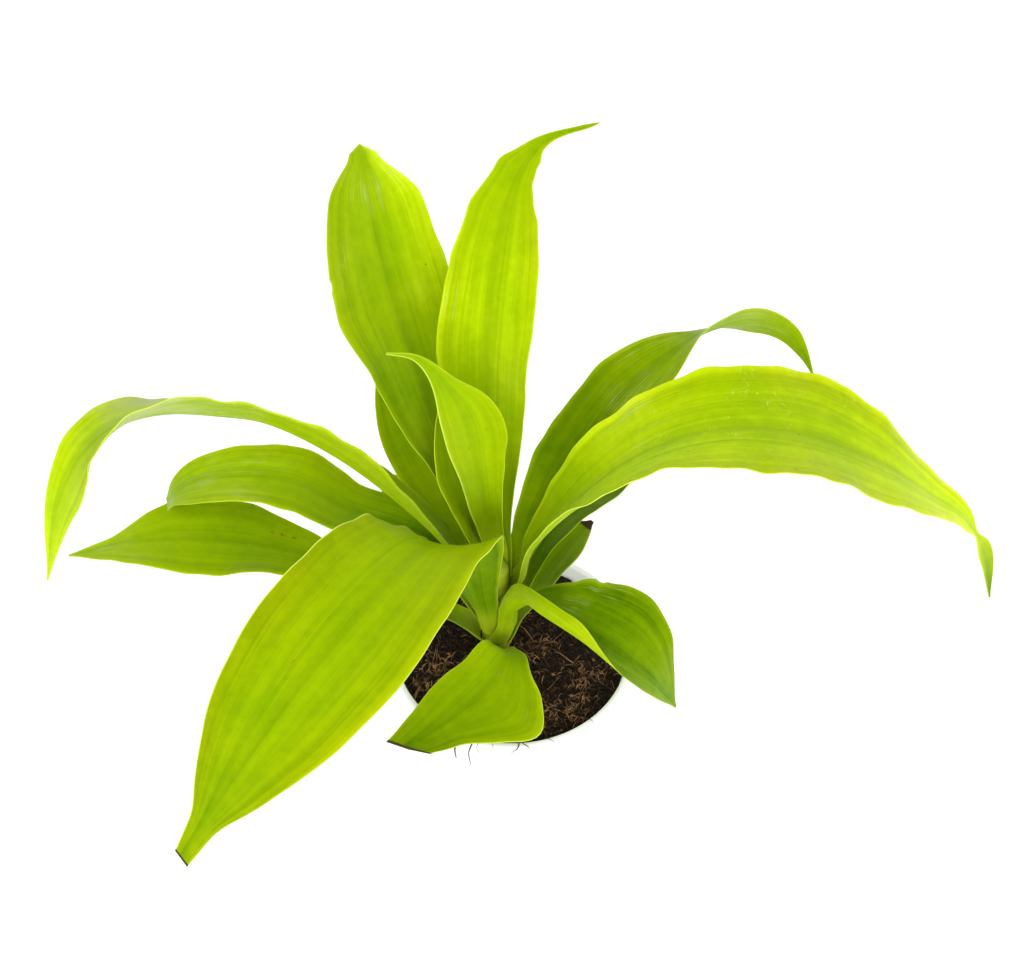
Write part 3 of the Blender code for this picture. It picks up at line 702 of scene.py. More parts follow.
def soil_surface(name, colours):
    """Moist peat: dark brown with lighter grains."""
    surface = Surface(name, colours.peat, 0.9, 0.25)
    here = surface.place()
    grain = surface.noise(here, 420.0, 6.0, 0.7)
    patch = surface.noise(here, 70.0, 3.0)
    dark = tuple(c * 0.45 for c in colours.peat)
    warm = tuple(min(c * 4.0, 1.0) for c in colours.peat)
    value = surface.plus(surface.times(grain, 0.7), surface.times(patch, 0.3))
    tint = surface.ramp(value, (0.32, dark), (0.52, colours.peat), (0.72, warm))
    surface.bump(grain, 0.9 * MM, 0.9)
    return surface.paint(Base_Color=tint, Roughness=surface.step(patch, 0.3, 0.7, 0.7, 0.98))


def fibre_surface(name, tint):
    """Dry plant fibre or bark with lighter and darker stretches."""
    surface = Surface(name, tint, 0.75, 0.3)
    here = surface.place()
    mottle = surface.noise(here, 190.0, 3.0, 0.6)
    dark = tuple(c * 0.10 for c in tint)
    light = tuple(min(c * 2.0, 1.0) for c in tint)
    painted = surface.ramp(mottle, (0.36, dark), (0.52, tint), (0.70, light))
    surface.bump(surface.noise(here, 1500.0, 2.0), 0.12 * MM)
    return surface.paint(Base_Color=painted)


def cane_surface(colours):
    """Skin of the cane: green, with brownish rings and fine upright fibres."""
    surface = Surface("cane_skin", colours.cane, 0.55, 0.35)
    here = surface.place()
    fibre = surface.noise(surface.stretched(here, (900.0, 900.0, 60.0)), 1.0, 3.0)
    patch = surface.noise(here, 160.0, 3.0)
    tint = surface.mix(surface.step(patch, 0.45, 0.7, 0.0, 0.6), colours.cane, colours.base)
    worn = surface.plus(surface.attribute("ring"), surface.times(patch, 0.4))
    tint = surface.mix(surface.step(worn, 0.6, 1.2, 0.0, 0.6), tint, BROWN)
    tint = surface.mix(surface.times(surface.attribute("low"), 0.55), tint, BROWN)
    surface.bump(surface.plus(fibre, patch), 0.3 * MM, 0.7)
    return surface.paint(Base_Color=tint)


def pot_surface(colours):
    """White moulded plastic with a very faint orange-peel gloss and soft scuffs."""
    surface = Surface("pot_plastic", colours.pot, 0.32, 0.5)
    here = surface.place()
    scuff = surface.noise(surface.stretched(here, (60.0, 60.0, 240.0)), 1.0, 4.0, 0.65)
    cloud = surface.noise(here, 14.0, 2.0)
    grey = tuple(c * 0.98 for c in colours.pot)
    tint = surface.mix(surface.step(cloud, 0.35, 0.7), colours.pot, grey)
    surface.bump(surface.noise(here, 850.0, 2.0), 0.05 * MM, 0.5)
    return surface.paint(Base_Color=tint, Roughness=surface.step(scuff, 0.3, 0.75, 0.28, 0.46),
                         Subsurface_Weight=0.7, Subsurface_Radius=WHITE, Subsurface_Scale=6.0 * MM)


def midrib(row, foot_reach):
    """The points that a leaf's midrib passes through."""
    compass, height, lean = row["foot"]
    out = np.array([math.cos(math.radians(compass)), math.sin(math.radians(compass)), 0.0])
    up = np.array([0.0, 0.0, 1.0])
    foot = np.array([*STEM_AXIS, height * MM]) + foot_reach * out
    way = math.sin(math.radians(lean)) * out + math.cos(math.radians(lean)) * up
    start = [foot] + [foot + run * way for run in FOOT_RUN]
    return np.vstack([start, np.array(row["course"], float) * MM])


def blend_level(level, knots, order, t):
    """One level of the pyramid of blends that a centripetal Catmull-Rom curve is made of."""
    blended = []
    for k in range(len(level) - 1):
        first = k if order < 3 else 1
        last = k + order if order < 3 else 2
        part = (t - knots[first]) / (knots[last] - knots[first])
        blended.append(level[k] * (1 - part) + level[k + 1] * part)
    return blended


def smooth_curve(points, samples=96, steps=24):
    """Evenly spaced samples of a smooth curve through the points, and its length."""
    p = np.vstack([2 * points[0] - points[1], points, 2 * points[-1] - points[-2]])
    found = []
    for i in range(1, len(p) - 2):
        knots = [0.0]
        for k in (i - 1, i, i + 1):
            knots.append(knots[-1] + math.sqrt(np.linalg.norm(p[k + 1] - p[k])))
        for t in np.linspace(knots[1], knots[2], steps, endpoint=False):
            level = [p[i - 1], p[i], p[i + 1], p[i + 2]]
            for order in (1, 2, 3):
                level = blend_level(level, knots, order, t)
            found.append(level[0])
    found.append(p[-2])
    found = np.array(found)
    run = np.concatenate([[0.0], np.cumsum(np.linalg.norm(np.diff(found, axis=0), axis=1))])
    even = np.linspace(0.0, run[-1], samples + 1)
    return np.stack([np.interp(even, run, found[:, k]) for k in range(3)], axis=1), run[-1]


def read_smoothly(values, t):
    """Values given at even steps from 0 to 1, read at t by smooth cubic pieces."""
    v = np.array(values, float)
    if len(v) == 1:
        return np.full_like(t, v[0])
    x = t * (len(v) - 1)
    i = np.clip(np.floor(x).astype(int), 0, len(v) - 2)
    f = x - i
    padded = np.concatenate([v[:1], v, v[-1:]])
    before, here, there, after = (padded[i + k] for k in range(4))
    leave = (there - before) / 2
    arrive = (after - here) / 2
    return ((2 * f**3 - 3 * f**2 + 1) * here + (f**3 - 2 * f**2 + f) * leave
            + (3 * f**2 - 2 * f**3) * there + (f**3 - f**2) * arrive)


def carried_frames(rib, compass):
    """The way along the rib and the way to its right, carried along it without a twist."""
    along = unit(np.gradient(rib, axis=0))
    angle = math.radians(compass)
    side = np.array([math.sin(angle), -math.cos(angle), 0.0])
    sides = []
    for way in along:
        side = side - (side @ way) * way
        side = side / np.linalg.norm(side)
        sides.append(side)
    return along, np.array(sides)


def at_share(samples, u):
    """The samples read in between, at each share u of the length."""
    where = np.linspace(0.0, 1.0, len(samples))
    return np.stack([np.interp(u, where, samples[:, k]) for k in range(3)], axis=1)


def unit(vectors):
    """The vectors at length one."""
    return vectors / np.linalg.norm(vectors, axis=-1, keepdims=True)


def bell(distance, width):
    """1 in the middle, falling smoothly to nothing past the width on either side."""
    return np.exp(-(distance / width) ** 2)


def on_side(row, key, hand):
    """The swells or nicks of one margin."""
    return [place[1:] for place in row.get(key, ()) if place[0] == hand]


class Blade:
    """The fine form of one leaf, worked out from its row of the table."""

    def __init__(self, row, shape, draw):
        self.row = row
        self.shape = shape
        self.rib, self.length = smooth_curve(midrib(row, shape.foot_reach))
        self.along, self.sides = carried_frames(self.rib, row["foot"][0])
        self.phases = [draw.uniform(0.0, math.tau) for _ in range(8)]
        self.folds = [draw.uniform(0.8, 1.25) for _ in range(4)]
        self.rows = max(24, round(self.length / shape.step_along))
        self.cols = 2 * max(8, round(max(row["widths"]) * MM / shape.step_across / 2))

    def foot_share(self, u):
        """1 at the foot, falling to nothing past the part that clasps the cane."""
        return bell(u * self.length, self.shape.clasp_run)

    def half_width(self, u, hand):
        """The blade's reach from its midrib to the right (hand 1) or to the left (hand -1)."""
        row = self.row
        more = row.get("right_more" if hand > 0 else "left_more", (0,))
        half = read_smoothly(row["widths"], u) / 2 + read_smoothly(more, u)
        for where, most, reach in on_side(row, "swells", hand):
            half += most * bell(u - where, reach)
        half = np.maximum(half * MM, LEAST_WIDTH / 2) * (1 + self.shape.clasp * self.foot_share(u))
        if "point" in row:
            half *= np.sqrt(np.clip((1 - u) * self.length / (row["point"] * MM) + 0.01, 0, 1))
        slow, quick = (share * np.sin(u * self.length / pace + phase * hand)
                       for (share, pace), phase in zip(WAVERS, self.phases))
        left = np.ones_like(u)
        for where, depth, reach in on_side(row, "nicks", hand):
            torn = np.clip(1 - np.abs(u - where) / reach, 0, 1) ** 2
            left -= depth / max(row["widths"]) * 2 * torn
        return half * (1 + slow + quick * np.sin(9 * u + 1)) * left

    def ripple(self, u, hand):
        """Small ripples of one margin."""
        turn = math.tau * self.length / self.shape.ripple_step
        long_wave = 0.6 * np.sin(turn * u + self.phases[2 + hand])
        short_wave = 0.4 * np.sin(1.7 * turn * u + self.phases[5 + hand])
        return self.shape.ripple * (long_wave + short_wave)

    def pleats(self, u, across):
        """Soft folds that run along the blade, unevenly spaced and drifting a little."""
        wide = max(self.row["widths"]) / 60.0
        drift = 0.5 * np.sin(3.1 * u + self.phases[7])
        total = np.zeros_like(u)
        for k, (turns, part) in enumerate(((2.1, 0.45), (3.7, 0.30), (6.3, 0.25))):
            turns *= self.folds[k] * max(wide, 0.5)
            turned = math.pi * turns * across + self.phases[k]
            total += part * np.sin(turned + drift * (1 + 0.4 * k))
        return self.shape.pleat * total

    def frames(self, u):
        """The midrib's points at each u, with the ways along it, to its right and off its face."""
        along = unit(at_share(self.along, u))
        side = at_share(self.sides, u)
        side = unit(side - (side * along).sum(axis=1)[:, None] * along)
        face = np.cross(side, along)
        roll = np.radians(read_smoothly(self.row.get("roll", (0,)), u))[:, None]
        return (at_share(self.rib, u), along, side * np.cos(roll) + face * np.sin(roll),
                face * np.cos(roll) - side * np.sin(roll))

    def points(self, u, v):
        """Middle-surface points for the shares u along and v across, -1 at the left margin."""
        row, shape = self.row, self.shape
        centre, along, side, face = self.frames(u)
        wave_height, wave_count = row.get("wave", WAVE)
        grid = np.zeros((len(u), len(v), 3))
        edge = np.zeros((len(u), len(v)))
        for j, across in enumerate(v):
            reach = abs(across)
            hand = 1 if across > 0 else -1
            half = self.half_width(u, hand)
            swell = np.clip(np.sin(math.pi * u ** 0.8), 0, 1) ** 0.8
            swell *= np.clip(2 * half / WAVE_FULL_WIDTH, 0, 1)
            curl = row.get("right" if hand > 0 else "left", row.get("curl"))
            bend = np.radians(read_smoothly(curl, u) + CLASP_CURL * self.foot_share(u))
            bend = np.maximum(bend, 0.001)
            out = half * np.sin(bend * reach) / bend * hand
            up = half * (1 - np.cos(bend * reach)) / bend + KEEL * half * reach * (1 - reach / 2)
            lag = WAVE_LAG if across > 0 else 0.0
            wave = wave_height * MM * reach ** 2 * np.sin(math.tau * (wave_count * u + lag))
            up += swell * (wave + self.ripple(u, hand) * reach ** 4 + self.pleats(u, across))
            up -= swell * shape.groove * bell(half * across, GROOVE_WIDTH)
            lean = row.get("slant", 0.0) * MM * across * u ** 8
            grid[:, j] = centre + out[:, None] * side + up[:, None] * face + lean[:, None] * along
            edge[:, j] = half * (1 - reach) / MM
        return grid, edge

    def plain_half(self, u):
        """Half the blade's width before its margins differ, as a column."""
        return np.maximum(read_smoothly(self.row["widths"], u) * MM, LEAST_WIDTH)[:, None] / 2

    def thickness(self, u, v, edge):
        """Thickness at every point, most along the midrib and least at the margins."""
        shape, half = self.shape, self.plain_half(u)
        ridge = bell(half * v[None, :], RIDGE_WIDTH) * np.clip(half / (10.0 * MM), 0, 1)
        thin = np.clip(edge / THIN_RUN, 0, 1) * 0.4 + 0.6
        return shape.thick * thin + (shape.rib_thick - shape.thick) * ridge

    def marks(self, u, v):
        """Tones with painted light and shade, painted sheen, wear, margins, scars and dryness at
        every point.
        """
        row = self.row
        across, along = np.meshgrid(v, u)
        half = self.plain_half(u)
        found = {}
        plain = {"under": row["tone"], "bloom_under": row.get("bloom", (0,))}
        for name in ("tone", "under", "bloom", "bloom_under", "wear"):
            values = row.get(name, plain.get(name, (0,)))
            values = np.clip(read_smoothly(values, u), NO_LIGHT, ALL_LIGHT)
            found[name] = values[:, None] + 0 * across
        left, right = row.get("sides", (0.05, 0.05))
        found["tone"] += np.where(across < 0, -left, right) * across
        found["tone"] -= 0.07 * bell(across * half, 2.0 * MM)
        found["rim"] = np.where(across < 0, *row.get("rim", (0.12, 0.12)))
        found["pale"] = 0.85 * np.clip(1 - along * self.length / PALE_RUN, 0, 1) ** 1.5
        found["yellow"] = row.get("yellow", 0.4) * across ** 2 * np.clip(1.6 * along, 0, 1)
        found["scar"] = np.zeros(along.shape)
        for where_across, where_along, radius in row.get("scars", ()):
            x = (across - (2 * where_across - 1)) * half / (radius * MM)
            y = (along - where_along) * self.length / (1.8 * radius * MM)
            found["scar"] = np.maximum(found["scar"], bell(np.hypot(x, y), 1.0))
        found["dry"] = np.zeros(along.shape)
        if "dry" in row:
            found["dry"] = np.clip((along - row["dry"]) / (1 - row["dry"]) * 2.0 + 0.4, 0, 1)
            found["dry"][along < row["dry"] - 0.012] = 0
        return found


def make_leaf(row, shape, draw, materials):
    """One leaf: a grid laid along its midrib, given thickness, with its marks as attributes."""
    blade = Blade(row, shape, draw)
    start_clean()
    bpy.ops.mesh.primitive_grid_add(x_subdivisions=blade.cols, y_subdivisions=blade.rows, size=2.0,
                                    calc_uvs=True)
    obj = bpy.context.active_object
    mesh = obj.data
    flat = np.zeros(len(mesh.vertices) * 3, np.float32)
    mesh.vertices.foreach_get("co", flat)
    flat = flat.reshape(-1, 3).astype(float)
    v = np.unique(np.round(flat[:, 0], 5))
    u = np.unique(np.round((flat[:, 1] + 1) / 2, 5))
    column = np.searchsorted(v, np.round(flat[:, 0], 5))
    line = np.searchsorted(u, np.round((flat[:, 1] + 1) / 2, 5))
    grid, edge = blade.points(u, v)
    if not (np.isfinite(grid).all() and np.isfinite(edge).all()):
        raise RuntimeError("leaf " + row["name"] + " has a point without a place")
    mesh.vertices.foreach_set("co", grid[line, column].astype(np.float32).ravel())
    mesh.update()
    thick = blade.thickness(u, v, edge)
    group = obj.vertex_groups.new(name="thickness")
    for k, (i, j) in enumerate(zip(line, column)):
        group.add([k], float(thick[i, j] / shape.rib_thick), "REPLACE")
    for made in materials:
        mesh.materials.append(made)
    apply_modifier(obj, "SOLIDIFY", thickness=shape.rib_thick, offset=0.0, vertex_group="thickness",
                   thickness_vertex_group=0.0, material_offset=1, material_offset_rim=2,
                   use_even_offset=False, use_rim=True)
    copies = len(mesh.vertices) // len(line)
    if copies * len(line) != len(mesh.vertices):
        raise RuntimeError("the faces of leaf " + row["name"] + " don't match")
    for name, values in {**blade.marks(u, v), "edge_mm": edge}.items():
        write_attribute(mesh, name, np.tile(values[line, column], copies))
    if {face.material_index for face in mesh.polygons} != {0, 1, 2}:
        raise RuntimeError("leaf " + row["name"] + " has a face, an underside or a margin too few")
    obj.vertex_groups.clear()
    smooth(obj, 50.0)
    settle(obj, "blade_" + row["name"], "leaf", "leaf_" + row["name"])


class DRACAENA_OT_leaves(bpy.types.Operator):
    """Makes the sixteen leaves, each from its row of the table"""
    bl_idname = "dracaena.leaves"
    bl_label = "Leaves"

    def execute(self, context):
        shape = sizes(context, "leaf")
        colours = sizes(context, "colours")
        materials = (blade_surface(colours), underside_surface(colours), margin_surface(colours))
        draw = random.Random(shape.seed)
        for row in LEAVES:
            make_leaf(row, shape, draw, materials)
        return {"FINISHED"}


class DRACAENA_OT_stem(bpy.types.Operator):
    """Makes the cane with its rings of leaf scars"""
    bl_idname = "dracaena.stem"
    bl_label = "Cane"

    def execute(self, context):
        stem, soil = sizes(context, "stem"), sizes(context, "soil")
        foot, top = STEM_LOW.z, STEM_HIGH.z
        profile = [(stem.radius - 0.3 * MM, foot), (stem.radius, foot + 0.3 * MM)]
        height = soil.level - 2 * MM
        while height < top - 9 * MM:
            part = (height - foot) / (top - foot)
            radius = stem.radius + (stem.top_radius - stem.radius) * part
            profile += [(radius - deep * stem.scar_depth, height + above * MM)
                        for deep, above in SCAR_EDGE]
            profile.append((radius - 0.08 * MM, height + 4.5 * MM))
            height += stem.scar_spacing
        profile += [(stem.top_radius * cosine, top - stem.top_radius / 2 * (1 - sine))
                    for cosine, sine in arc((0, 20, 40, 60, 78))]
        obj = turn_profile(profile, stem.sides, *STEM_AXIS)
        heights = np.array([vertex.co.z for vertex in obj.data.vertices])
        above = heights + obj.location.z - soil.level
        ring = bell((above + 2 * MM) % stem.scar_spacing - 0.9 * MM, 0.7 * MM)
        write_attribute(obj.data, "ring", ring)
        write_attribute(obj.data, "low", np.clip(1 - above / (14 * MM), 0, 1))
        smooth(obj, 60.0)
        settle(obj, "cane", "stem", "stem", materials=(cane_surface(sizes(context, "colours")),))
        return {"FINISHED"}


class DRACAENA_OT_pot(bpy.types.Operator):
    """Makes the white nursery pot with its rim band, lip and stacking ring"""
    bl_idname = "dracaena.pot"
    bl_label = "Pot"

    def execute(self, context):
        pot = sizes(context, "pot")
        band = pot.height - pot.band
        base, rim, top = pot.base_radius, pot.rim_radius, pot.height
        profile = [(radius * MM, height * MM) for radius, height in STACKING_RING]
        profile += [(base - inward * MM, height * MM) for inward, height in FOOT_EDGE]
        profile += [((base + pot.shoulder) / 2, band / 2),
                    (pot.shoulder - 0.1 * MM, band - 0.6 * MM), (pot.shoulder, band)]
        profile += [(rim - inward * MM, band + above * MM) for inward, above in BAND_EDGE]
        profile.append((rim - 0.1 * MM, top - 2 * LIP))
        profile += [(rim - LIP * (1 - cosine), top - LIP * (1 - sine))
                    for cosine, sine in arc(range(0, 91, 15))]
        profile += [(pot.rim_inner + 0.8 * LIP * (1 - sine), top - 0.8 * LIP * (1 - cosine))
                    for cosine, sine in arc(range(15, 91, 15))]
        profile += [(pot.shoulder - pot.wall, band), (base + 0.9 * MM - pot.wall, pot.floor),
                    (4.0 * MM, pot.floor)]
        obj = turn_profile(profile, pot.sides)
        smooth(obj, 40.0)
        surface = pot_surface(sizes(context, "colours"))
        settle(obj, "nursery_pot", "pot", "pot", materials=(surface,))
        return {"FINISHED"}


def from_stem(x, y):
    """Distance of a place from the stem's axis."""
    return math.hypot(x - STEM_AXIS[0], y - STEM_AXIS[1])


def soil_height(soil, x, y):
    """Height of the soil's top with its clods and its grain."""
    reach = math.hypot(x, y) / SOIL_REACH
    clods = math.sin(x / (7.0 * MM) + 1.3) * math.sin(y / (8.0 * MM) + 0.4)
    crumbs = math.sin(x / (3.1 * MM) - 0.7 + y / (5.0 * MM)) * math.sin(y / (3.7 * MM))
    coarse = noise.noise(Vector((x, y, 0.0)) * 170.0)
    grain = noise.fractal(Vector((x, y, 0.02)) * 420.0, 0.8, 2.1, 5)
    return (soil.level + soil.rise * reach ** 2 + soil.bump * (0.7 * clods + 0.3 * crumbs)
            + soil.grain * (0.6 * coarse + 0.4 * grain))


class DRACAENA_OT_soil(bpy.types.Operator):
    """Makes the peat that fills the pot, with a hole for the cane"""
    bl_idname = "dracaena.soil"
    bl_label = "Soil"

    def execute(self, context):
        soil, stem, pot = (sizes(context, group) for group in ("soil", "stem", "pot"))
        hole = stem.radius + GAP
        outer = SOIL_HIGH.x
        start_clean()
        bpy.ops.mesh.primitive_grid_add(x_subdivisions=soil.around, y_subdivisions=soil.rings,
                                        size=2.0)
        obj = bpy.context.active_object
        for vertex in obj.data.vertices:
            angle = (vertex.co.x + 1) * math.pi
            part = (vertex.co.y + 1) / 2
            radius = hole + (outer - hole) * part
            x = STEM_AXIS[0] * (1 - part) + radius * math.cos(angle)
            y = STEM_AXIS[1] * (1 - part) + radius * math.sin(angle)
            vertex.co = (x, y, soil_height(soil, x, y))
        take(obj)
        with editing():
            bpy.ops.mesh.select_all(action="SELECT")
            bpy.ops.mesh.remove_doubles(threshold=0.01 * MM)
        self.close(obj, hole, outer, pot)
        smooth(obj, 60.0)
        settle(obj, "potting_soil", "soil", "soil",
               materials=(soil_surface("peat", sizes(context, "colours")),))
        return {"FINISHED"}

    def close(self, obj, hole, outer, pot):
        """Extrudes both open edges down and fills them, so that the soil is one closed body."""
        low_outer = pot.base_radius - pot.wall + 0.1 * MM
        edges = ((True, STEM_LOW.z - GAP, hole), (False, SOIL_LOW.z, low_outer))
        for inner, level, radius in edges:
            with editing():
                bpy.ops.mesh.select_mode(type="EDGE")
                bpy.ops.mesh.select_all(action="DESELECT")
            counted = Counter(key for face in obj.data.polygons for key in face.edge_keys)
            for edge in obj.data.edges:
                if counted[edge.key] == 1:
                    first, second = (obj.data.vertices[k].co for k in edge.vertices)
                    edge.select = (from_stem(*(first + second).xy / 2) < 2 * hole) == inner
            with editing():
                bpy.ops.mesh.extrude_edges_move()
            x, y = STEM_AXIS if inner else (0.0, 0.0)
            scale = radius / (hole if inner else outer)
            for vertex in obj.data.vertices:
                if vertex.select:
                    was = vertex.co
                    vertex.co = (x + (was.x - x) * scale, y + (was.y - y) * scale, level)
            with editing():
                bpy.ops.mesh.edge_face_add()
                face_out()


def strand_object(name, strands, thickness, roundness, surface):
    """Tapered strands through lists of points, made of one curve and turned into a mesh."""
    start_clean()
    data = bpy.data.curves.new(name, "CURVE")
    data.dimensions = "3D"
    data.bevel_depth = thickness
    data.bevel_resolution = roundness
    data.use_fill_caps = True
    for points, scale in strands:
        spline = data.splines.new("POLY")
        spline.points.add(len(points) - 1)
        for k, point in enumerate(points):
            taper = 1.0 - 0.7 * (k / (len(points) - 1)) ** 2
            spline.points[k].co = (*point, 1.0)
            spline.points[k].radius = scale * taper
    obj = bpy.data.objects.new(name, data)
    bpy.context.scene.collection.objects.link(obj)
    take(obj)
    bpy.ops.object.convert(target="MESH")
    bpy.ops.object.shade_smooth()
    settle(bpy.context.active_object, name, "soil", materials=(surface,))


def open_ground(draw, clumped=0.0):
    """A random place on the soil, clear of the stem and the wall, some of them in clumps."""
    while True:
        x, y = draw.uniform(-54, 54) * MM, draw.uniform(-54, 54) * MM
        if draw.random() < clumped:
            middle = draw.choice(CLUMPS)
            x = (middle[0] + draw.gauss(0.0, 4.5)) * MM
            y = (middle[1] + draw.gauss(0.0, 4.0)) * MM
        if math.hypot(x, y) < LITTER_REACH and from_stem(x, y) > STEM_CLEAR:
            return x, y


def wander(draw, soil, run, count, lift, clumped):
    """A bent path that lies on the soil."""
    x, y = open_ground(draw, clumped)
    heading = draw.uniform(0, math.tau)
    bend = draw.uniform(-1.0, 1.0)
    hump = draw.uniform(0.2, 1.0) * lift
    points = []
    for k in range(count):
        part = k / (count - 1)
        points.append((x, y, soil_height(soil, x, y) + 0.25 * MM + hump * math.sin(math.pi * part)))
        heading += bend * 0.06 + draw.uniform(-0.08, 0.08)
        x += math.cos(heading) * run / count
        y += math.sin(heading) * run / count
        far = math.hypot(x, y) / FIBRE_REACH
        if far > 1:
            x, y = x / far, y / far
    return points


class DRACAENA_OT_litter(bpy.types.Operator):
    """Scatters fibres, chips and crumbs over the soil"""
    bl_idname = "dracaena.litter"
    bl_label = "Soil litter"

    def execute(self, context):
        soil = sizes(context, "soil")
        colours = sizes(context, "colours")
        draw = random.Random(soil.seed)
        dark = fibre_surface("fibre_brown", colours.bark)
        pale = fibre_surface("fibre_tan", colours.fibre)
        for name, part, surface, lift, clumped in (("fibres_brown", 0.70, dark, 1.6, 0.0),
                                                   ("fibres_tan", 0.30, pale, 2.6, 0.65)):
            strands = []
            for _ in range(round(soil.fibres * part)):
                run = draw.uniform(*((1.5, 7.0) if draw.random() < 0.88 else (7.0, 19.0))) * MM
                bent = wander(draw, soil, run, 5, lift * MM, clumped)
                strands.append((bent, draw.uniform(0.4, 2.2)))
            strand_object(name, strands, FIBRE_RADIUS, 0, surface)
        noise.seed_set(soil.seed)
        self.scatter(soil, draw, "bark_chips", soil.chips, self.chip(), (0.9, 3.4), dark, 0.0)
        self.scatter(soil, draw, "tan_chips", soil.chips // 3, self.chip(), (0.8, 3.0), pale, 0.6)
        self.scatter(soil, draw, "peat_crumbs", soil.crumbs, self.crumb(), (0.6, 2.4),
                     soil_surface("peat_crumb", colours), 0.0)
        return {"FINISHED"}

    def chip(self):
        """One flat splinter of bark with cut corners."""
        start_clean()
        bpy.ops.mesh.primitive_cube_add(size=1.0)
        obj = bpy.context.active_object
        obj.scale = (1.0, 0.42, 0.22)
        bpy.ops.object.transform_apply(location=False, rotation=False, scale=True)
        apply_modifier(obj, "BEVEL", width=0.07, segments=1, limit_method="NONE")
        for vertex in obj.data.vertices:
            vertex.co += Vector(noise.noise_vector(vertex.co * 2.0)) * 0.12
        return obj

    def crumb(self):
        """One lump of peat."""
        start_clean()
        bpy.ops.mesh.primitive_ico_sphere_add(subdivisions=2, radius=0.5)
        obj = bpy.context.active_object
        for vertex in obj.data.vertices:
            vertex.co *= 1.0 + 0.55 * noise.noise(vertex.co * 3.1)
        return obj

    def scatter(self, soil, draw, name, count, pattern, span, surface, clumped):
        """Copies the pattern over the soil, each copy with its own mesh, and joins them."""
        made = []
        for _ in range(count):
            x, y = open_ground(draw, clumped)
            size = draw.uniform(*span) * MM * (1.6 if draw.random() < 0.12 else 1.0)
            turn = Euler((draw.uniform(-0.5, 0.5), draw.uniform(-0.5, 0.5),
                          draw.uniform(0, math.tau)))
            copy = pattern.copy()
            copy.data = pattern.data.copy()
            place = (x, y, soil_height(soil, x, y) + 0.15 * size)
            spread = (size, size * draw.uniform(0.45, 1.0), size)
            copy.data.transform(Matrix.LocRotScale(place, turn, spread))
            bpy.context.scene.collection.objects.link(copy)
            made.append(copy)
        start_clean()
        for copy in made:
            copy.select_set(True)
        bpy.context.view_layer.objects.active = made[0]
        bpy.ops.object.join()
        joined = bpy.context.active_object
        bpy.data.objects.remove(pattern, do_unlink=True)
        settle(joined, name, "soil", materials=(surface,))


class DRACAENA_OT_roots(bpy.types.Operator):
    """Hangs a few dried roots over the front of the rim"""
    bl_idname = "dracaena.roots"
    bl_label = "Roots over the rim"

    def execute(self, context):
        pot, soil = sizes(context, "pot"), sizes(context, "soil")
        draw = random.Random(soil.seed + 1)
        strands = [(self.root(pot, soil, draw, compass, down * MM), thickness)
                   for compass, down, thickness in RIM_ROOTS]
        surface = fibre_surface("dried_root", sizes(context, "colours").root)
        strand_object("rim_roots", strands, ROOT_RADIUS, 1, surface)
        return {"FINISHED"}

    def root(self, pot, soil, draw, compass, down):
        """Points from the soil up over the lip and down outside, with a little sway."""
        over = [(46.0 * MM, soil.level + 1.4 * MM), (53.0 * MM, pot.height - 3.0 * MM),
                (57.5 * MM, pot.height + 0.5 * MM), (60.4 * MM, pot.height + 0.2 * MM),
                (61.0 * MM, pot.height - 0.45 * down), (61.4 * MM, pot.height - down)]
        points = []
        for k, (radius, height) in enumerate(over):
            angle = math.radians(compass + draw.uniform(-1.6, 1.6) * (k + 1) / 3)
            points.append((radius * math.cos(angle), radius * math.sin(angle), height))
        curve, _ = smooth_curve(np.array(points), samples=18)
        return [tuple(point) for point in curve]


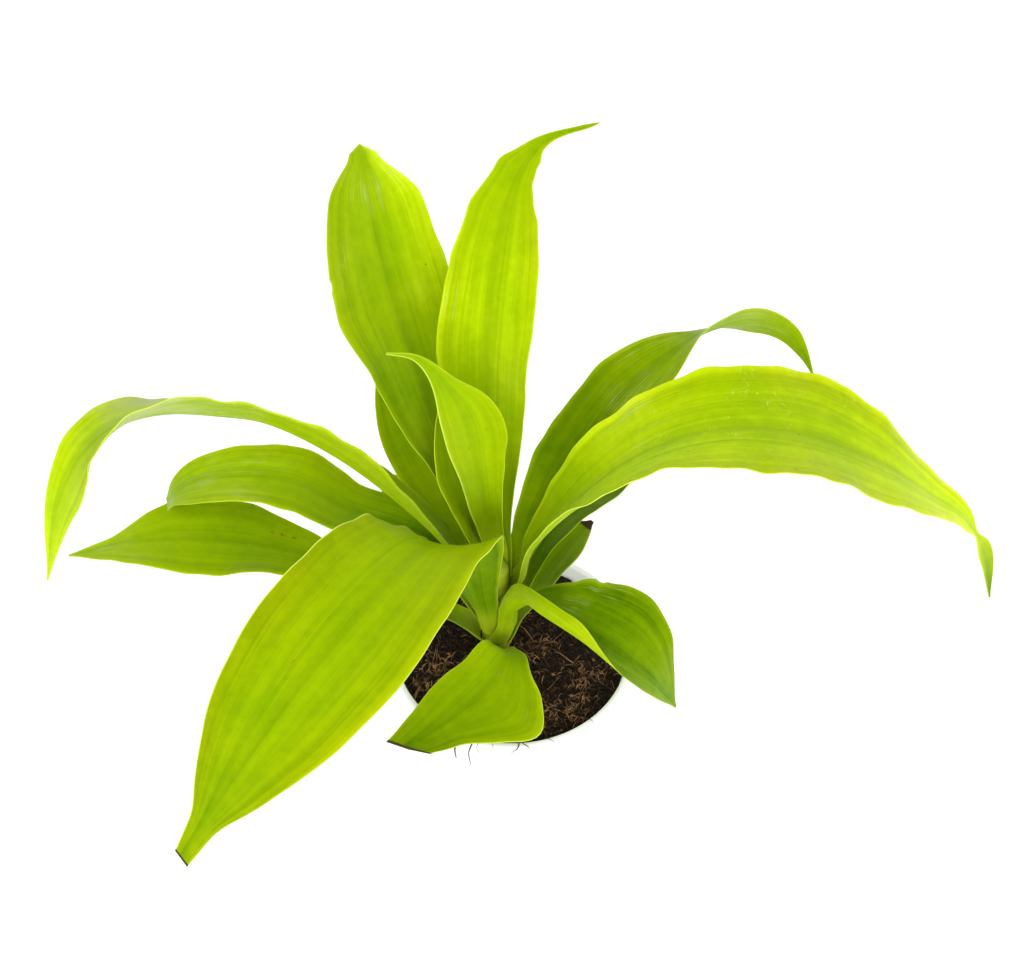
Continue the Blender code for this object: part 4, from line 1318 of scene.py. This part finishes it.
class DRACAENA_OT_stage(bpy.types.Operator):
    """Sets the floor, the soft studio light and the camera"""
    bl_idname = "dracaena.stage"
    bl_label = "Stage"

    def execute(self, context):
        look = sizes(context, "stage")
        self.floor(sizes(context, "colours"), look.glow)
        for name, size, place in LAMPS:
            self.light(name + "_light", getattr(look, name), size, place)
        world = bpy.data.worlds.new("studio")
        world.use_nodes = True
        even = world.node_tree.nodes["Background"].inputs
        even["Color"].default_value = (*WHITE, 1.0)
        even["Strength"].default_value = look.world
        context.scene.world = world
        context.scene.view_settings.view_transform = "Standard"
        self.camera(context, look)
        return {"FINISHED"}

    def floor(self, colours, glow):
        """A plain pale floor that gives back a little light."""
        start_clean()
        bpy.ops.mesh.primitive_plane_add(size=FLOOR_SIZE, location=(0.0, 0.0, -FLOOR_DROP))
        obj = bpy.context.active_object
        obj.name = "studio_floor"
        surface = Surface("studio_floor", colours.floor, 0.9, 0.1)
        obj.data.materials.append(surface.paint(Emission_Color=WHITE, Emission_Strength=glow))

    def light(self, name, power, size, place):
        """A soft square lamp that faces the plant."""
        lamp = bpy.data.lights.new(name, "AREA")
        lamp.energy = power
        lamp.size = size
        obj = bpy.data.objects.new(name, lamp)
        obj.location = place
        obj.rotation_euler = (LAMP_AIM - Vector(place)).to_track_quat("-Z", "Y").to_euler()
        bpy.context.scene.collection.objects.link(obj)

    def camera(self, context, look):
        """The camera of the photograph: high in front, looking down at the crown."""
        data = bpy.data.cameras.new("camera")
        data.lens = look.lens
        data.sensor_width = 36.0
        obj = bpy.data.objects.new("camera", data)
        obj.location = (0.0, -look.distance * math.cos(look.pitch),
                        look.aim + look.distance * math.sin(look.pitch))
        obj.rotation_euler = (math.pi / 2 - look.pitch, 0.0, 0.0)
        context.scene.collection.objects.link(obj)
        context.scene.camera = obj


OPERATORS = (DRACAENA_OT_pot, DRACAENA_OT_soil, DRACAENA_OT_litter, DRACAENA_OT_roots,
             DRACAENA_OT_stem, DRACAENA_OT_leaves, DRACAENA_OT_stage)
GROUPS = {"pot": PotSizes, "soil": SoilSizes, "stem": StemSizes, "leaf": LeafSizes,
          "colours": PlantColours, "stage": StageLook}


class DRACAENA_PT_panel(bpy.types.Panel):
    """Lists the pieces of the plant in the sidebar"""
    bl_idname = "DRACAENA_PT_panel"
    bl_label = "Potted dracaena"
    bl_space_type = "VIEW_3D"
    bl_region_type = "UI"
    bl_category = "Dracaena"

    def draw(self, context):
        for operator in OPERATORS:
            self.layout.operator(operator.bl_idname)
        for name, group in GROUPS.items():
            box = self.layout.box()
            box.label(text=name.capitalize())
            for key in group.__annotations__:
                box.prop(sizes(context, name), key)


def register():
    """Registers the add-on's classes and its settings on the scene."""
    for made in (*GROUPS.values(), *OPERATORS, DRACAENA_PT_panel):
        bpy.utils.register_class(made)
    for name, group in GROUPS.items():
        setattr(bpy.types.Scene, "dracaena_" + name, bpy.props.PointerProperty(type=group))


def unregister():
    """Takes the settings and classes away again."""
    for name in GROUPS:
        delattr(bpy.types.Scene, "dracaena_" + name)
    for made in reversed((*GROUPS.values(), *OPERATORS, DRACAENA_PT_panel)):
        bpy.utils.unregister_class(made)


def main():
    """Makes every piece in order."""
    register()
    bpy.ops.dracaena.pot()
    bpy.ops.dracaena.soil()
    bpy.ops.dracaena.litter()
    bpy.ops.dracaena.roots()
    bpy.ops.dracaena.stem()
    bpy.ops.dracaena.leaves()
    bpy.ops.dracaena.stage()
    bpy.context.view_layer.update()


if __name__ == "__main__":
    main()
